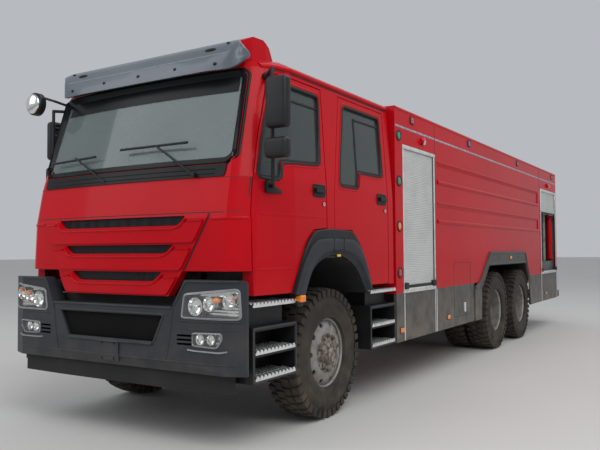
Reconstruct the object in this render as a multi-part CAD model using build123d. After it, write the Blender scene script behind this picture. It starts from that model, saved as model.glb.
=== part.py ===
from build123d import *
from functools import lru_cache
from math import cos, pi, sin
import os

# Six-wheel fire truck with a four-door tilting cab, a water tank body and a pump room.
# Millimetres. Lengths are laid out forward from the front axle and left from the middle,
# and each piece is moved at the end so that the origin is on the ground below the middle.

# Whole truck
FRONT_OVERHANG = 1400
WHEELBASE = 4780
TANDEM_SPACING = 1350
REAR_OVERHANG = 2920
BODY_WIDTH = 2500
HALF_WIDTH = BODY_WIDTH / 2
REAR_AXLES = (-WHEELBASE, -WHEELBASE - TANDEM_SPACING)
TANDEM_CENTRE = sum(REAR_AXLES) / 2
REAR_END = REAR_AXLES[1] - REAR_OVERHANG
ORIGIN_SHIFT = -(FRONT_OVERHANG + REAR_END) / 2
BODY_REAR = REAR_END + 130

# Wheels
TYRE_RADIUS = 550
TYRE_WIDTH = 300
TYRE_LUGS = 22
TREAD_DEPTH = 16
SHOULDER = 60
RIM_RADIUS = 290
RIM_WIDTH = 232
RIM_WALL = 14
FRONT_TRACK = 2022
REAR_TRACK = 1830
DUAL_SPACING = 340
HUB_RADIUS = 120
HAND_HOLES = 8
SPINDLE_RADIUS = 45
BEARING_GAP = 0.05
SPINDLE_END = 90
REAR_SPINDLE_END = 1120

# Steering
KINGPIN_Y = 925
KINGPIN_RADIUS = 25
BOSS_RADIUS = 45
BOSS_HALF = 110
EAR = 45
STEER_ARM = 190
STEER_ARM_IN = 135
ARM_THICKNESS = 30
ROD_RADIUS = 22
ROD_LIFT = 0.5
AXLE_Z = TYRE_RADIUS

# Chassis frame
RAIL_OUTER = 430
RAIL_FLANGE = 80
RAIL_SKIN = 8
RAIL_BOTTOM = 780
RAIL_TOP = 1045
RAIL_FRONT = 1150
RAIL_REAR = BODY_REAR + 140
CROSSMEMBERS = (1060, -1500, -2600, TANDEM_CENTRE + 1555, TANDEM_CENTRE, TANDEM_CENTRE - 1545,
                RAIL_REAR + 130)
SPRING_Y = 390
SPRING_WIDTH = 80
SPRING_LEAF = 20

# Cab
CAB_REAR = -1170
WALL = 55
DOOR_GAP = 8
DOOR_REAR_GAP = 13
DOOR_REACH = 1060
DOOR_FRONT = 1145
DOOR_HEAD = 2775
WINDOW_HEAD = 2700
FLOOR_TOP = 1400
FLOOR_SKIN = 40
TUNNEL_HALF = 430
TOE_X = 1050
TOE_HALF = 1050
TUNNEL_TOP = 1530
BENCH_X = -480
DRIP_Z = 2820
GLASS_INSET = 16
GLASS = 6
GRILLE_FOOT = 1090
GRILLE_HEAD = 1692
GRILLE_PROUD = 9
GRILLE_DEPTH = 50
FRONT_HANDLE_X = 215
REAR_HANDLE_X = -990

# Bumper
BUMPER_TOP = 1215
BUMPER_LEDGE = 1020
BUMPER_FOOT = 555
BUMPER_REAR = 1272
DAM_FOOT = 420

# Tank and pump body
BODY_FRONT = -1235
BODY_TOP = 2885
SKIRT_TOP = 980
SKIRT_FOOT = 490
SKIRT_SKIN = 30
SEAM_FRONT = -2345
SEAM_REAR = BODY_REAR + 1390
BODY_WALL = 50
SHUTTER_HEAD = 2508
SHUTTER_FOOT = 1020
SLAT_PITCH = 46
HALF_OPEN_Z = 2068
DECK_DROP = 300

# Front springs' seat on the axle
SPRING_SEAT = 520

# Outlines in (y, z) on the left half of the bumper
BLOCK_OUTLINE = ((650, BUMPER_LEDGE), (756, BUMPER_TOP))
INTAKE_OUTLINE = ((457, 760), (550, 950))
HEADLAMP_OUTLINE = ((737, 950), (1205, 950), (1195, 1150), (762, 1110))
FOG_OUTLINE = ((835, 755), (1040, 748), (1080, 800), (1080, 845), (835, 838))
FOG_FINS = (752, 782, 812)
LAMP_BACK = 1290
PLATE_HOLES = (130, 120)
PLATE_Z = 665
PLATE_HOLE_RADIUS = 5

# Mirrors: distance and offset of each side's mast and how far its heads are turned back
MIRROR_MASTS = {1: (1050, 1300, 0), -1: (925, 1262, 90)}
KERB_MIRROR = (1150, -1210, 2755)
KERB_MIRROR_RADIUS = 102

# Wipers: pivot across, head of the arm, and both ends of the blade
WIPER_PIVOT_X = 1262
WIPER_ROWS = (
    (730, (1212, 310, 2240), ((1222, -60, 2235), (1205, 630, 2238))),
    (-210, (1200, -620, 2215), ((1178, -930, 2190), (1214, -360, 2205))),
)

# Cab steps: front, rear, foot and head of the box, and the top step's height
STEP_BOXES = ((640, 1215, 487, 880, 1055), (-1205, -640, 500, 900, 1050))
STEP_IN = 960
STEP_WALL = 30
TREAD_PLATE = 22

# Body panels, lockers and roof
PANEL_Y = 1235
PARAPET = 60
WELL_IN = 560
FRONT_SHUTTER = (-2330, -1425)
REAR_SHUTTER = (BODY_REAR + 60, SEAM_REAR - 80)
ARCH_FRONT = TANDEM_CENTRE + 1725
ARCH_REAR = TANDEM_CENTRE - 1310
BACK_SHUTTER = 600
SHUTTER_FRAME = 28
SHUTTER_FRAME_DEPTH = 30
BANDS = ((2209, 2429), (1754, 1952))
BAND_DEPTH = 14
SKIRTS = ((SEAM_FRONT + 5, BODY_FRONT - 5), (ARCH_FRONT + 2, SEAM_FRONT - 5), (SEAM_REAR + 5, ARCH_REAR - 3),
          (BODY_REAR + 5, SEAM_REAR - 5))
DECK_PLATE = 5
LADDER_Y = (-1040, -640)
LAMP_PROUD = 12
ROUND_LAMP_X = -1330
ROUND_LAMPS = (1191, 1663, 2125, 2592)
FLOOD_LAMPS = (-1960, BODY_REAR + 730)

# Water monitor and manhole on the deck
MONITOR_X = BODY_REAR + 720
MONITOR_BASE = 2950
MONITOR_PIVOT = MONITOR_BASE + 170
MONITOR_TAIL = 90
MONITOR_BORE = 24
MANHOLE_X = -3200
MANHOLE_RADIUS = 240
MANHOLE_TOP = BODY_TOP - DECK_DROP + 65
LID_HINGE_X = MANHOLE_X - 280
LID_HINGE_Z = MANHOLE_TOP + 12
HINGE_HALF = 90
OUTLET_RADIUS = 40
PUMP_X = BODY_REAR + 590
JAW_X = REAR_END + 55
JAW_BORE = 22.5

# Outlines in (x, z), as seen from the left
ARCH_OUTER = ((700, 1090), (590, 1310), (492, 1479), (380, 1580), (144, 1600), (-290, 1590),
              (-426, 1462), (-513, 1311), (-600, 1090))
ARCH_LIP = 100
ARCH_INNER = ((-560, 1040), (-500, 1126), (-360, 1280), (-121, 1376), (104, 1386), (316, 1320),
              (437, 1227), (540, 1040))
FRONT_DOOR = ((DOOR_FRONT, 1090), (DOOR_FRONT, 1690), (1112, 1915), (1037, 2190), (893, 2631),
              (850, DOOR_HEAD), (150, DOOR_HEAD), (150, 1600), (380, 1580), (492, 1479), (590, 1310),
              (700, 1090))
REAR_DOOR = ((30, 1590), (30, 1900), (-150, DOOR_HEAD), (-1060, DOOR_HEAD), (-1060, 1090), (-600, 1090),
             (-513, 1311), (-426, 1462), (-290, 1590))
FRONT_WINDOW = ((1065, 1955), (985, 2258), (848, 2655), (815, WINDOW_HEAD), (205, WINDOW_HEAD), (245, 2125),
                (795, 2092), (812, 1955))
REAR_WINDOW = ((-80, 1980), (-230, WINDOW_HEAD), (-960, WINDOW_HEAD), (-960, 2130), (-470, 2130),
               (-430, 1980))
REAR_ARCH_OUTER = ((ARCH_FRONT, SKIRT_FOOT), (ARCH_FRONT, 930), (ARCH_FRONT - 250, 1000),
                   (ARCH_FRONT - 710, 1390), (ARCH_REAR + 365, 1390), (ARCH_REAR + 95, 970),
                   (ARCH_REAR, SKIRT_FOOT))
REAR_ARCH_INNER = ((ARCH_FRONT - 260, SKIRT_FOOT), (ARCH_FRONT - 300, 900), (ARCH_FRONT - 640, 1200),
                   (ARCH_REAR + 335, 1200), (ARCH_REAR + 135, 870), (ARCH_REAR + 30, SKIRT_FOOT))

# Outlines in (y, z) of the left half, seen from the front
GRILLE_OUTLINE = ((560, GRILLE_FOOT), (690, 1290), (886, 1670), (886, GRILLE_HEAD))
WINDSCREEN_OUTLINE = ((1000, 2060), (1045, 2130), (1010, 2750), (980, 2790))

# Level cuts of the cab from the doors' foot to the roof: height, half width, front at the middle
CAB_SECTIONS = (
    (1090, 1235, 1345),
    (1660, 1235, 1318),
    (1960, 1232, 1262),
    (2060, 1224, 1235),
    (DRIP_Z, 1172, 1010),
    (2865, 1160, 985),
    (2905, 1080, 930),
    (2935, 900, 850),
)

# Slots in the grille: foot, head, half width at the foot, half width at the head
GRILLE_SLOTS = ((1610, 1680, 640, 690), (1405, 1470, 530, 587), (1197, 1267, 425, 488))

# Wheels: name, axle position, left or right, tyres side by side
WHEELS = (
    ("front_left", 0, 1, 1),
    ("front_right", 0, -1, 1),
    ("middle_left", REAR_AXLES[0], 1, 2),
    ("middle_right", REAR_AXLES[0], -1, 2),
    ("rear_left", REAR_AXLES[1], 1, 2),
    ("rear_right", REAR_AXLES[1], -1, 2),
)

# Body side lamps: distance, seat, height, half length, half height
SIDE_LAMPS = (
    (BODY_FRONT - 449, PANEL_Y, 2800, 45, 40), (ARCH_FRONT + 144, PANEL_Y, 2800, 45, 40),
    (TANDEM_CENTRE - 574, PANEL_Y, 2800, 45, 40), (BODY_REAR + 354, PANEL_Y, 2800, 45, 40),
    (BODY_FRONT - 130, PANEL_Y, 605, 28, 14), (SEAM_FRONT - 391, PANEL_Y, 624, 28, 14),
    (TANDEM_CENTRE - 20, HALF_WIDTH, 1296, 28, 14), (BODY_REAR + 1020, PANEL_Y, 624, 28, 14),
)


def block(x, y, z):
    """A box between two limits along each axis."""
    size = [high - low for low, high in (x, y, z)]
    middle = [(low + high) / 2 for low, high in (x, y, z)]
    return Pos(*middle) * Box(*size)


def drawn_in(points, gap):
    """An outline of straight edges with every edge moved inwards by a gap."""
    corners = [Vector(*point) for point in points]
    area = sum(a.X * b.Y - b.X * a.Y for a, b in zip(corners, corners[1:] + corners[:1]))
    turn = 1 if area > 0 else -1
    moved = []
    for before, here, after in zip(corners[-1:] + corners, corners, corners[1:] + corners[:1]):
        normals = [Vector(-edge.Y, edge.X).normalized() * turn for edge in (here - before, after - here)]
        middle = (normals[0] + normals[1]).normalized()
        corner = here + middle * (gap / middle.dot(normals[0]))
        moved.append((corner.X, corner.Y))
    return moved


def side_plate(points, y0, y1, gap=0):
    """An outline of (x, z) points, drawn in by a gap and pushed across the truck."""
    face = make_face(Polyline(*drawn_in(points, gap), close=True))
    return extrude(Plane.XZ.offset(-y1) * face, amount=y1 - y0)


def plan_plate(points, z0, z1):
    """An outline of (x, y) points pushed up."""
    return extrude(Plane.XY.offset(z0) * make_face(Polyline(*points, close=True)), amount=z1 - z0)


def cross_plate(points, x0, x1):
    """An outline of (y, z) points pushed forward."""
    return extrude(Plane.YZ.offset(x0) * make_face(Polyline(*points, close=True)), amount=x1 - x0)


def front_plate(points, x0, x1):
    """An outline of left-hand (y, z) points with its mirror image, pushed forward."""
    return cross_plate([*points, *[(-y, z) for y, z in reversed(points)]], x0, x1)


def rod(start, end, radius):
    """A round bar between two points."""
    axis = Vector(*end) - Vector(*start)
    return extrude(Plane(origin=start, z_dir=axis) * Circle(radius), amount=axis.length)


def solids_of(*shapes):
    """All solids of the given shapes in one list."""
    return [solid for shape in shapes for solid in shape.solids()]


def group(*shapes):
    """Solids that share one piece and don't touch."""
    return Compound(children=solids_of(*shapes))


def mirrored(shape):
    """The same shape on the other side of the truck."""
    return mirror(shape, about=Plane.XZ)


def pair(shape):
    """A shape and its mirror image as separate solids of one piece."""
    return group(shape, mirrored(shape))


def cab_section(z, half, front, inset):
    """A level cut of the cab: straight sides, tapered ahead of the doors, and a bowed front."""
    half -= inset
    front -= inset
    rear = CAB_REAR + inset
    corner = (front - 220, half - 40)
    turn = (front - 60, half - 200)
    bulge = ((corner[0] + turn[0]) / 2 + 16, (corner[1] + turn[1]) / 2 + 14)
    taper = (650, half)
    left = [(rear, half), taper, corner]
    with BuildSketch(Plane.XY.offset(z)) as cut:
        with BuildLine():
            Polyline(*left)
            ThreePointArc(corner, bulge, turn)
            ThreePointArc(turn, (front, 0), (turn[0], -turn[1]))
            ThreePointArc((turn[0], -turn[1]), (bulge[0], -bulge[1]), (corner[0], -corner[1]))
            Polyline(*[(x, -y) for x, y in reversed(left)])
            Line((rear, -half), (rear, half))
        make_face()
    return cut.sketch


@lru_cache
def cab_form(inset, foot=CAB_SECTIONS[0][0]):
    """The cab's closed form, drawn in by an inset, down to a given foot."""
    cuts = [(foot, *CAB_SECTIONS[0][1:])]
    cuts += [(z - inset if z > DRIP_Z else z, half, front) for z, half, front in CAB_SECTIONS[1:]]
    return loft([cab_section(*cut, inset) for cut in cuts], ruled=True)


def front_wheel_well():
    """The open space of both front wheel arches."""
    return side_plate(ARCH_INNER, -HALF_WIDTH, HALF_WIDTH)


def cab_shell():
    shell = cab_form(0) - cab_form(WALL, foot=1000)
    for side in (1, -1):
        across = sorted((side * DOOR_REACH, side * 1400))
        shell -= side_plate(FRONT_DOOR, *across)
        shell -= side_plate(REAR_DOOR, *across)
    shell -= front_plate(WINDSCREEN_OUTLINE, 700, 1400)
    shell -= front_plate(GRILLE_OUTLINE, 1000, 1500)
    shell -= front_wheel_well()
    for side in (1, -1):
        shell -= block((DOOR_FRONT, 1500), sorted((side * 500, side * 1300)), (1000, 1275))
    return shell + roof_brow()


def roof_brow():
    """The raised ridge across the roof behind the sun visor."""
    profile = ((930, 2880), (930, 2990), (905, 3045), (850, 3075), (730, 3075), (650, 3030), (560, 2880))
    plan = ((960, 700), (930, 880), (860, 985), (700, 1000), (540, 990))
    ridge = side_plate(profile, -1000, 1000)
    ridge &= plan_plate([*plan, *[(x, -y) for x, y in reversed(plan)]], 2850, 3100)
    return ridge - cab_form(WALL, foot=1000)


def cab_floor():
    """The floor inside the walls, narrower in front of the doors, with the engine tunnel down its middle."""
    inside = cab_form(WALL, foot=1000)
    floor = block((CAB_REAR, TOE_X), (-1300, 1300), (FLOOR_TOP - FLOOR_SKIN, FLOOR_TOP))
    floor += block((TOE_X, 1400), (-TOE_HALF, TOE_HALF), (FLOOR_TOP - FLOOR_SKIN, FLOOR_TOP))
    tunnel = block((CAB_REAR, 900), (-TUNNEL_HALF, TUNNEL_HALF), (FLOOR_TOP - FLOOR_SKIN, TUNNEL_TOP))
    hollow = block((CAB_REAR - 10, 900 - FLOOR_SKIN), (-TUNNEL_HALF + FLOOR_SKIN, TUNNEL_HALF - FLOOR_SKIN),
                   (1000, TUNNEL_TOP - FLOOR_SKIN))
    toe = side_plate(((1060, 1360), (1240, 1800), (1200, 1800), (1020, 1360)), -TOE_HALF, TOE_HALF)
    return ((floor + tunnel + toe) - hollow) & inside


def cab_skin(outline, side, outer=0, inner=WALL, gap=0):
    """The part of the cab's side wall that an outline covers."""
    across = sorted((side * DOOR_REACH, side * 1400))
    return (cab_form(outer) - cab_form(inner, foot=1000)) & side_plate(outline, *across, gap=gap)


def door_handle(x, z, side):
    """A pull handle in two feet that stands out of the door."""
    y = HALF_WIDTH - 15
    grip = block((x, x + 150), (y + 14, y + 30), (z, z + 34))
    foot = block((x, x + 26), (y - 20, y + 14), (z, z + 34))
    handle = grip + foot + Pos(124, 0, 0) * foot
    return handle if side > 0 else mirrored(handle)


def door_panel(outline, window, side, handle_x):
    """A door's skin around its window, cut back at the rear edge, which swings through the opening."""
    rear = min(x for x, z in outline)
    panel = cab_skin(outline, side, gap=DOOR_GAP)
    panel -= block((rear, rear + DOOR_REAR_GAP), (-1400, 1400), (1000, 2900))
    panel -= side_plate(window, *sorted((side * DOOR_REACH, side * 1400)))
    return panel + door_handle(handle_x, 1890, side)


def door_glass(window, side):
    return cab_skin(window, side, outer=GLASS_INSET, inner=GLASS_INSET + GLASS)


def windscreen():
    sheet = cab_form(GLASS_INSET) - cab_form(GLASS_INSET + GLASS, foot=1000)
    return sheet & front_plate(WINDSCREEN_OUTLINE, 700, 1400)


def grille_panel():
    panel = cab_form(-GRILLE_PROUD) - cab_form(GRILLE_DEPTH, foot=1000)
    panel &= front_plate(GRILLE_OUTLINE, 1000, 1500)
    for foot, head, low_half, high_half in GRILLE_SLOTS:
        panel -= front_plate(((low_half, foot), (high_half, head)), 1000, 1500)
    return panel


def grille_mesh():
    """Slats that stand in each slot of the grille."""
    slats = []
    for foot, head, low_half, high_half in GRILLE_SLOTS:
        ring = front_plate(((low_half, foot), (high_half, head)), 1200, 1500)
        ring &= cab_form(12) - cab_form(GRILLE_DEPTH, foot=1000)
        for step in range(3):
            level = foot + (step + 0.5) * (head - foot) / 3
            ring -= block((1290, 1500), (-low_half + 25, low_half - 25), (level - 6, level + 6))
        slats.append(ring)
    return group(*slats)


def sun_visor():
    profile = ((1000, 2786), (1108, 2786), (1100, 2830), (1040, 2975), (975, 3030), (935, 3030), (935, 2870))
    plan = ((1108, 0), (1104, 700), (1070, 930), (1000, 1010), (850, 1040))
    visor = side_plate(profile, -1100, 1100)
    visor &= plan_plate([*plan, *[(x, -y) for x, y in plan[:0:-1]]], 2700, 3100)
    return visor - cab_form(0) - roof_brow()


def front_arches():
    """Trims that stand out around the front wheels."""
    band = side_plate(ARCH_OUTER, HALF_WIDTH - 60, HALF_WIDTH + 8, gap=1)
    lip = side_plate(ARCH_INNER, HALF_WIDTH - 60, HALF_WIDTH + 36, gap=-ARCH_LIP)
    lip &= side_plate(ARCH_OUTER, 0, 1400, gap=1)
    return pair(band + lip - side_plate(ARCH_INNER, 0, 1400) - cab_form(0))


def dashboard():
    profile = ((1060, 1810), (760, 1810), (700, 1900), (720, 2010), (900, 2040), (1060, 2000))
    return side_plate(profile, -1040, 1040) & cab_form(WALL, foot=1000)


def steering_wheel():
    """The driver's wheel on its column."""
    hub = Plane(origin=(560, 560, 2130), z_dir=(-0.5, 0, 0.866))
    ring = hub * (Cylinder(252, 26) - Cylinder(222, 26))
    spokes = hub * Box(450, 36, 14)
    column = extrude(hub * Circle(34), amount=-330)
    return ring + spokes + column - dashboard()


def seat(x, y, width):
    """A seat's pedestal, cushion and raked back, one above the other."""
    low, high = y - width / 2, y + width / 2
    pedestal = block((x - 430, x), (low + 30, high - 30), (FLOOR_TOP, FLOOR_TOP + 240))
    cushion = side_plate(((x - 480, FLOOR_TOP + 242), (x + 30, FLOOR_TOP + 242), (x + 40, FLOOR_TOP + 420),
                          (x - 360, FLOOR_TOP + 400), (x - 470, FLOOR_TOP + 400)), low, high)
    back = side_plate(((x - 362, FLOOR_TOP + 402), (x - 480, FLOOR_TOP + 1130), (x - 600, FLOOR_TOP + 1110),
                       (x - 482, FLOOR_TOP + 402)), low, high)
    return [pedestal, cushion, back]


def seats():
    """Driver's and commander's seats, and the crew's bench across the tunnel."""
    _, cushion, back = seat(BENCH_X, 0, 1900)
    foot, _, _ = seat(BENCH_X, 690, 500)
    return group(*seat(300, 665, 440), *seat(300, -665, 440), cushion, back, foot, mirrored(foot))


def kerb_mirror():
    """The round mirror ahead of the right-hand front pillar, on a bent arm."""
    x, y, z = KERB_MIRROR
    disc = rod((x - 25, y, z), (x + 25, y, z), KERB_MIRROR_RADIUS)
    bend = (x - 30, y + 220, z + 5)
    arm = rod((x, y + 60, z + 60), bend, 11) + rod(bend, (x - 190, y + 265, z - 30), 11)
    return (disc + arm) - cab_form(0, foot=1000)


def wipers_kerb_mirror():
    """Two wipers with their blades, and the kerb mirror."""
    arms = []
    for foot_y, head, blade in WIPER_ROWS:
        pivot = Vector(WIPER_PIVOT_X, foot_y, 1985)
        axle = rod(pivot - Vector(60, 0, 0), pivot + Vector(6, 0, 0), 18)
        arm = axle + rod(pivot, head, 8) + rod(*blade, 10)
        arms += solids_of(arm - cab_form(0, foot=1000))
    return group(*arms, kerb_mirror())


def mirrors(side):
    """Two mirror housings on a mast that stands out from the front door; the right pair is folded back."""
    x, y, turn = MIRROR_MASTS[side]
    heads = block((20, 110), (0, 185), (2285, 2652)) + block((25, 112), (-10, 185), (2072, 2218))
    heads += block((0, 60), (20, 60), (2430, 2470)) + block((0, 60), (20, 60), (2130, 2160))
    mast = rod((x, y, 1890), (x, y, 2745), 16)
    upper = rod((x, y, 2735), (x - 170, 1130, 2742), 13)
    lower = rod((x, y, 1900), (x - 110, 1205, 1892), 14) + block((815, 1010), (1180, 1226), (1845, 1930))
    whole = Pos(x, y, 0) * Rot(0, 0, turn) * heads + mast + upper + lower
    if side < 0:
        whole = mirrored(whole)
    return whole - cab_form(0, foot=1000)


def frame_rails():
    """Two channel rails joined by crossmembers."""
    y0, y1 = RAIL_OUTER - RAIL_FLANGE, RAIL_OUTER
    channel = block((RAIL_REAR, BUMPER_REAR), (y0, y1), (RAIL_BOTTOM, RAIL_TOP))
    channel -= block((RAIL_REAR, BUMPER_REAR), (y0, y1 - RAIL_SKIN),
                     (RAIL_BOTTOM + RAIL_SKIN, RAIL_TOP - RAIL_SKIN))
    channel -= block((RAIL_FRONT, BUMPER_REAR), (y0, y1), (960, RAIL_TOP))
    frame = channel + mirrored(channel)
    for x in CROSSMEMBERS:
        beam = block((x - 50, x + 50), (-y1 + RAIL_SKIN, y1 - RAIL_SKIN), (RAIL_BOTTOM + 40, RAIL_TOP - 40))
        beam -= block((x - 42, x + 50), (-y0, y0), (RAIL_BOTTOM + 48, RAIL_TOP - 48))
        frame += beam
    return frame


def front_axle():
    """A forged beam that drops between the kingpin bosses."""
    outline = ((KINGPIN_Y, AXLE_Z + 50), (760, AXLE_Z + 50), (560, 480), (0, 480))
    under = ((0, 380), (600, 380), (780, AXLE_Z - 60), (KINGPIN_Y, AXLE_Z - 50))
    beam = cross_plate([*outline, *under], -45, 45)
    beam += mirrored(beam)
    for side in (1, -1):
        low = (0, side * KINGPIN_Y, AXLE_Z - BOSS_HALF)
        high = (0, side * KINGPIN_Y, AXLE_Z + BOSS_HALF)
        beam += rod(low, high, BOSS_RADIUS)
        beam -= rod((0, side * KINGPIN_Y, 300), (0, side * KINGPIN_Y, 800), KINGPIN_RADIUS + BEARING_GAP)
        beam += block((-70, 70), sorted((side * (SPRING_Y - 50), side * (SPRING_Y + 50))), (480, 520))
    return beam


def knuckle(side):
    """A fork on the kingpin that carries the wheel's spindle and the steering arm."""
    y = KINGPIN_Y
    top = AXLE_Z + BOSS_HALF + 1
    foot = AXLE_Z - BOSS_HALF - 1
    fork = block((-55, 55), (y + BOSS_RADIUS + 6, y + 85), (foot - EAR, top + EAR))
    fork += block((-45, 45), (y - 45, y + 80), (top, top + EAR))
    fork += block((-45, 45), (y - 45, y + 80), (foot - EAR, foot))
    fork += rod((0, y, foot - EAR), (0, y, top + EAR), KINGPIN_RADIUS)
    fork += rod((0, y + 84, AXLE_Z), (0, FRONT_TRACK / 2 + SPINDLE_END, AXLE_Z), SPINDLE_RADIUS)
    end = y - STEER_ARM_IN
    arm = ((-30, y + 40), (-30, y - 40), (-STEER_ARM - 30, end - 25), (-STEER_ARM - 30, end + 25))
    fork += plan_plate(arm, foot - EAR, foot - EAR + ARM_THICKNESS)
    return fork if side > 0 else mirrored(fork)


def tie_rod():
    """The bar across the steering arms, with an eye above each."""
    half = KINGPIN_Y - STEER_ARM_IN
    base = AXLE_Z - BOSS_HALF - 1 - EAR + ARM_THICKNESS + ROD_LIFT
    bar = rod((-STEER_ARM, -half, base + ROD_RADIUS), (-STEER_ARM, half, base + ROD_RADIUS), ROD_RADIUS - 3)
    for side in (1, -1):
        foot = Vector(-STEER_ARM, side * half, base)
        bar += rod(foot, foot + Vector(0, 0, 2 * ROD_RADIUS), ROD_RADIUS + 4)
    return bar


def rear_axles():
    """Two banjo housings with their spindles."""
    pieces = []
    for x in REAR_AXLES:
        tube = block((x - 75, x + 75), (-700, 700), (AXLE_Z - 75, AXLE_Z + 75))
        banjo = rod((x - 110, 0, AXLE_Z), (x + 150, 0, AXLE_Z), 215)
        spindle = rod((x, -REAR_SPINDLE_END, AXLE_Z), (x, REAR_SPINDLE_END, AXLE_Z), SPINDLE_RADIUS)
        pieces.append(tube + banjo + spindle)
    return group(*pieces)


def leaf_pack(x, z, half, leaves, rise):
    """Stacked leaves, each shorter than the one above, bent by their ends' rise."""
    pack = []
    for index in range(leaves):
        reach = half * (1 - index / (leaves + 1))
        lift = rise * reach / half
        top = z - index * SPRING_LEAF
        foot = top - SPRING_LEAF
        outline = ((x - reach, top + lift), (x, top), (x + reach, top + lift),
                   (x + reach, foot + lift), (x, foot), (x - reach, foot + lift))
        pack.append(side_plate(outline, SPRING_Y - SPRING_WIDTH / 2, SPRING_Y + SPRING_WIDTH / 2))
    return sum(pack[1:], pack[0])


def leaf_springs():
    """Front springs under their hangers, and rear springs under a trunnion across both axles."""
    across = (SPRING_Y - SPRING_WIDTH / 2, SPRING_Y + SPRING_WIDTH / 2)
    front = leaf_pack(0, SPRING_SEAT + 4 * SPRING_LEAF, 700, 4, 130)
    for x in (-660, 660):
        front += block((x - 30, x + 30), across, (SPRING_SEAT + 190, RAIL_BOTTOM))
    rear = leaf_pack(TANDEM_CENTRE, RAIL_BOTTOM - 10, TANDEM_SPACING / 2 + 40, 5, -50)
    rear += block((TANDEM_CENTRE - 90, TANDEM_CENTRE + 90), across, (RAIL_BOTTOM - 40, RAIL_BOTTOM))
    return group(pair(front), pair(rear))


def engine():
    """The engine as one plain block on four feet, and the radiator ahead of it."""
    body = block((-650, 620), (-330, 330), (700, 1440))
    for x in (-450, 400):
        foot = block((x - 60, x + 60), (300, RAIL_OUTER - 25), (RAIL_TOP, RAIL_TOP + 60))
        body += foot + mirrored(foot)
    radiator = block((700, 790), (-335, 335), (690, 1330))
    return group(body, radiator)


def drive_line():
    """The gearbox behind the engine, and the shafts to both rear axles."""
    outline = ((-650, 740), (-650, 1080), (-1150, 1060), (-1400, 900), (-1400, 650), (-1150, 650))
    gearbox = side_plate(outline, -210, 210)
    joint = REAR_AXLES[0] + 150
    first = rod((-1400.3, 0, 730), (joint + 30, 0, AXLE_Z + 60), 50)
    first += rod((joint, 0, AXLE_Z + 60), (joint + 60, 0, AXLE_Z + 60), 70)
    first -= block((-1400.3, -1000), (-200, 200), (600, 900))
    second = rod((REAR_AXLES[0] - 110, 0, AXLE_Z), (REAR_AXLES[1] + 150, 0, AXLE_Z), 50)
    return group(gearbox, first, second)


def bumper_plan(z0, z1, ahead=0):
    """The bumper's bowed plan between two levels, moved ahead for what stands proud of it."""
    front = FRONT_OVERHANG - 8 + ahead
    half = ((front, 600), (front - 24, 1080), (front - 95, HALF_WIDTH - 5), (BUMPER_REAR, HALF_WIDTH - 5))
    return plan_plate([*half, *[(x, -y) for x, y in reversed(half)]], z0, z1)


def front_bumper():
    """Bumper with raised corner blocks, lamp pockets, a slatted intake and a set-back dam."""
    bumper = bumper_plan(BUMPER_FOOT, BUMPER_TOP)
    bumper -= front_plate(BLOCK_OUTLINE, BUMPER_REAR, FRONT_OVERHANG)
    bevel = ((FRONT_OVERHANG, BUMPER_FOOT), (FRONT_OVERHANG, 630), (FRONT_OVERHANG - 8, 630),
             (FRONT_OVERHANG - 40, BUMPER_FOOT))
    bumper -= side_plate(bevel, -HALF_WIDTH, HALF_WIDTH)
    relief = ((BUMPER_REAR, 1188), (BUMPER_REAR + 30, BUMPER_TOP + 1), (BUMPER_REAR, BUMPER_TOP + 1))
    bumper -= side_plate(relief, -HALF_WIDTH, HALF_WIDTH)
    intake = front_plate(INTAKE_OUTLINE, FRONT_OVERHANG - 60, FRONT_OVERHANG)
    slats = [block((FRONT_OVERHANG - 60, FRONT_OVERHANG - 30), (-700, 700), (z, z + 10))
             for z in range(768, 940, 28)]
    bumper -= intake - sum(slats[1:], slats[0])
    for outline in (HEADLAMP_OUTLINE, FOG_OUTLINE):
        pocket = cross_plate(outline, LAMP_BACK, FRONT_OVERHANG)
        bumper -= pocket + mirrored(pocket)
    for z in FOG_FINS:
        slot = block((LAMP_BACK, FRONT_OVERHANG), (690, 822), (z, z + 16))
        bumper -= slot + mirrored(slot)
    dam = ((BUMPER_REAR, 1130), (1310, 1090), (1330, 600))
    bumper += plan_plate([*dam, *[(x, -y) for x, y in reversed(dam)]], DAM_FOOT, BUMPER_FOOT)
    bumper += block((FRONT_OVERHANG - 20, FRONT_OVERHANG), (-110, 110), (590, 740))
    for y in (-PLATE_HOLES[0] / 2, PLATE_HOLES[0] / 2):
        for z in (PLATE_Z - PLATE_HOLES[1] / 2, PLATE_Z + PLATE_HOLES[1] / 2):
            bumper -= rod((FRONT_OVERHANG - 50, y, z), (FRONT_OVERHANG, y, z), PLATE_HOLE_RADIUS)
    return bumper


def front_lamps():
    """Headlamps and fog lamps that fill the bumper's pockets."""
    lamps = [bumper_plan(BUMPER_FOOT, BUMPER_TOP, ahead=5) & cross_plate(outline, LAMP_BACK, 1500)
             for outline in (HEADLAMP_OUTLINE, FOG_OUTLINE)]
    return pair(group(*lamps))


def step_box(x0, x1, foot, head, top):
    """A step housing with two niches, a riser above it and an arm to the rail."""
    y0, y1 = STEP_IN, HALF_WIDTH - 15
    box = block((x0, x1), (y0, y1), (foot, head))
    niche = (head - foot - 3 * STEP_WALL) / 2
    for level in (foot + STEP_WALL, foot + 2 * STEP_WALL + niche):
        box -= block((x0 + STEP_WALL, x1 - STEP_WALL), (y0 + 40, y1), (level, level + niche))
    middle = (x0 + x1) / 2
    box += block((x0 + 70, x1 - 70), (y0, y1 - 90), (head, top - TREAD_PLATE))
    box += block((middle - 30, middle + 30), (RAIL_OUTER, y0), (head - 90, head - 20))
    return box


def cab_steps():
    return group(*[pair(step_box(*row)) for row in STEP_BOXES])


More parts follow.
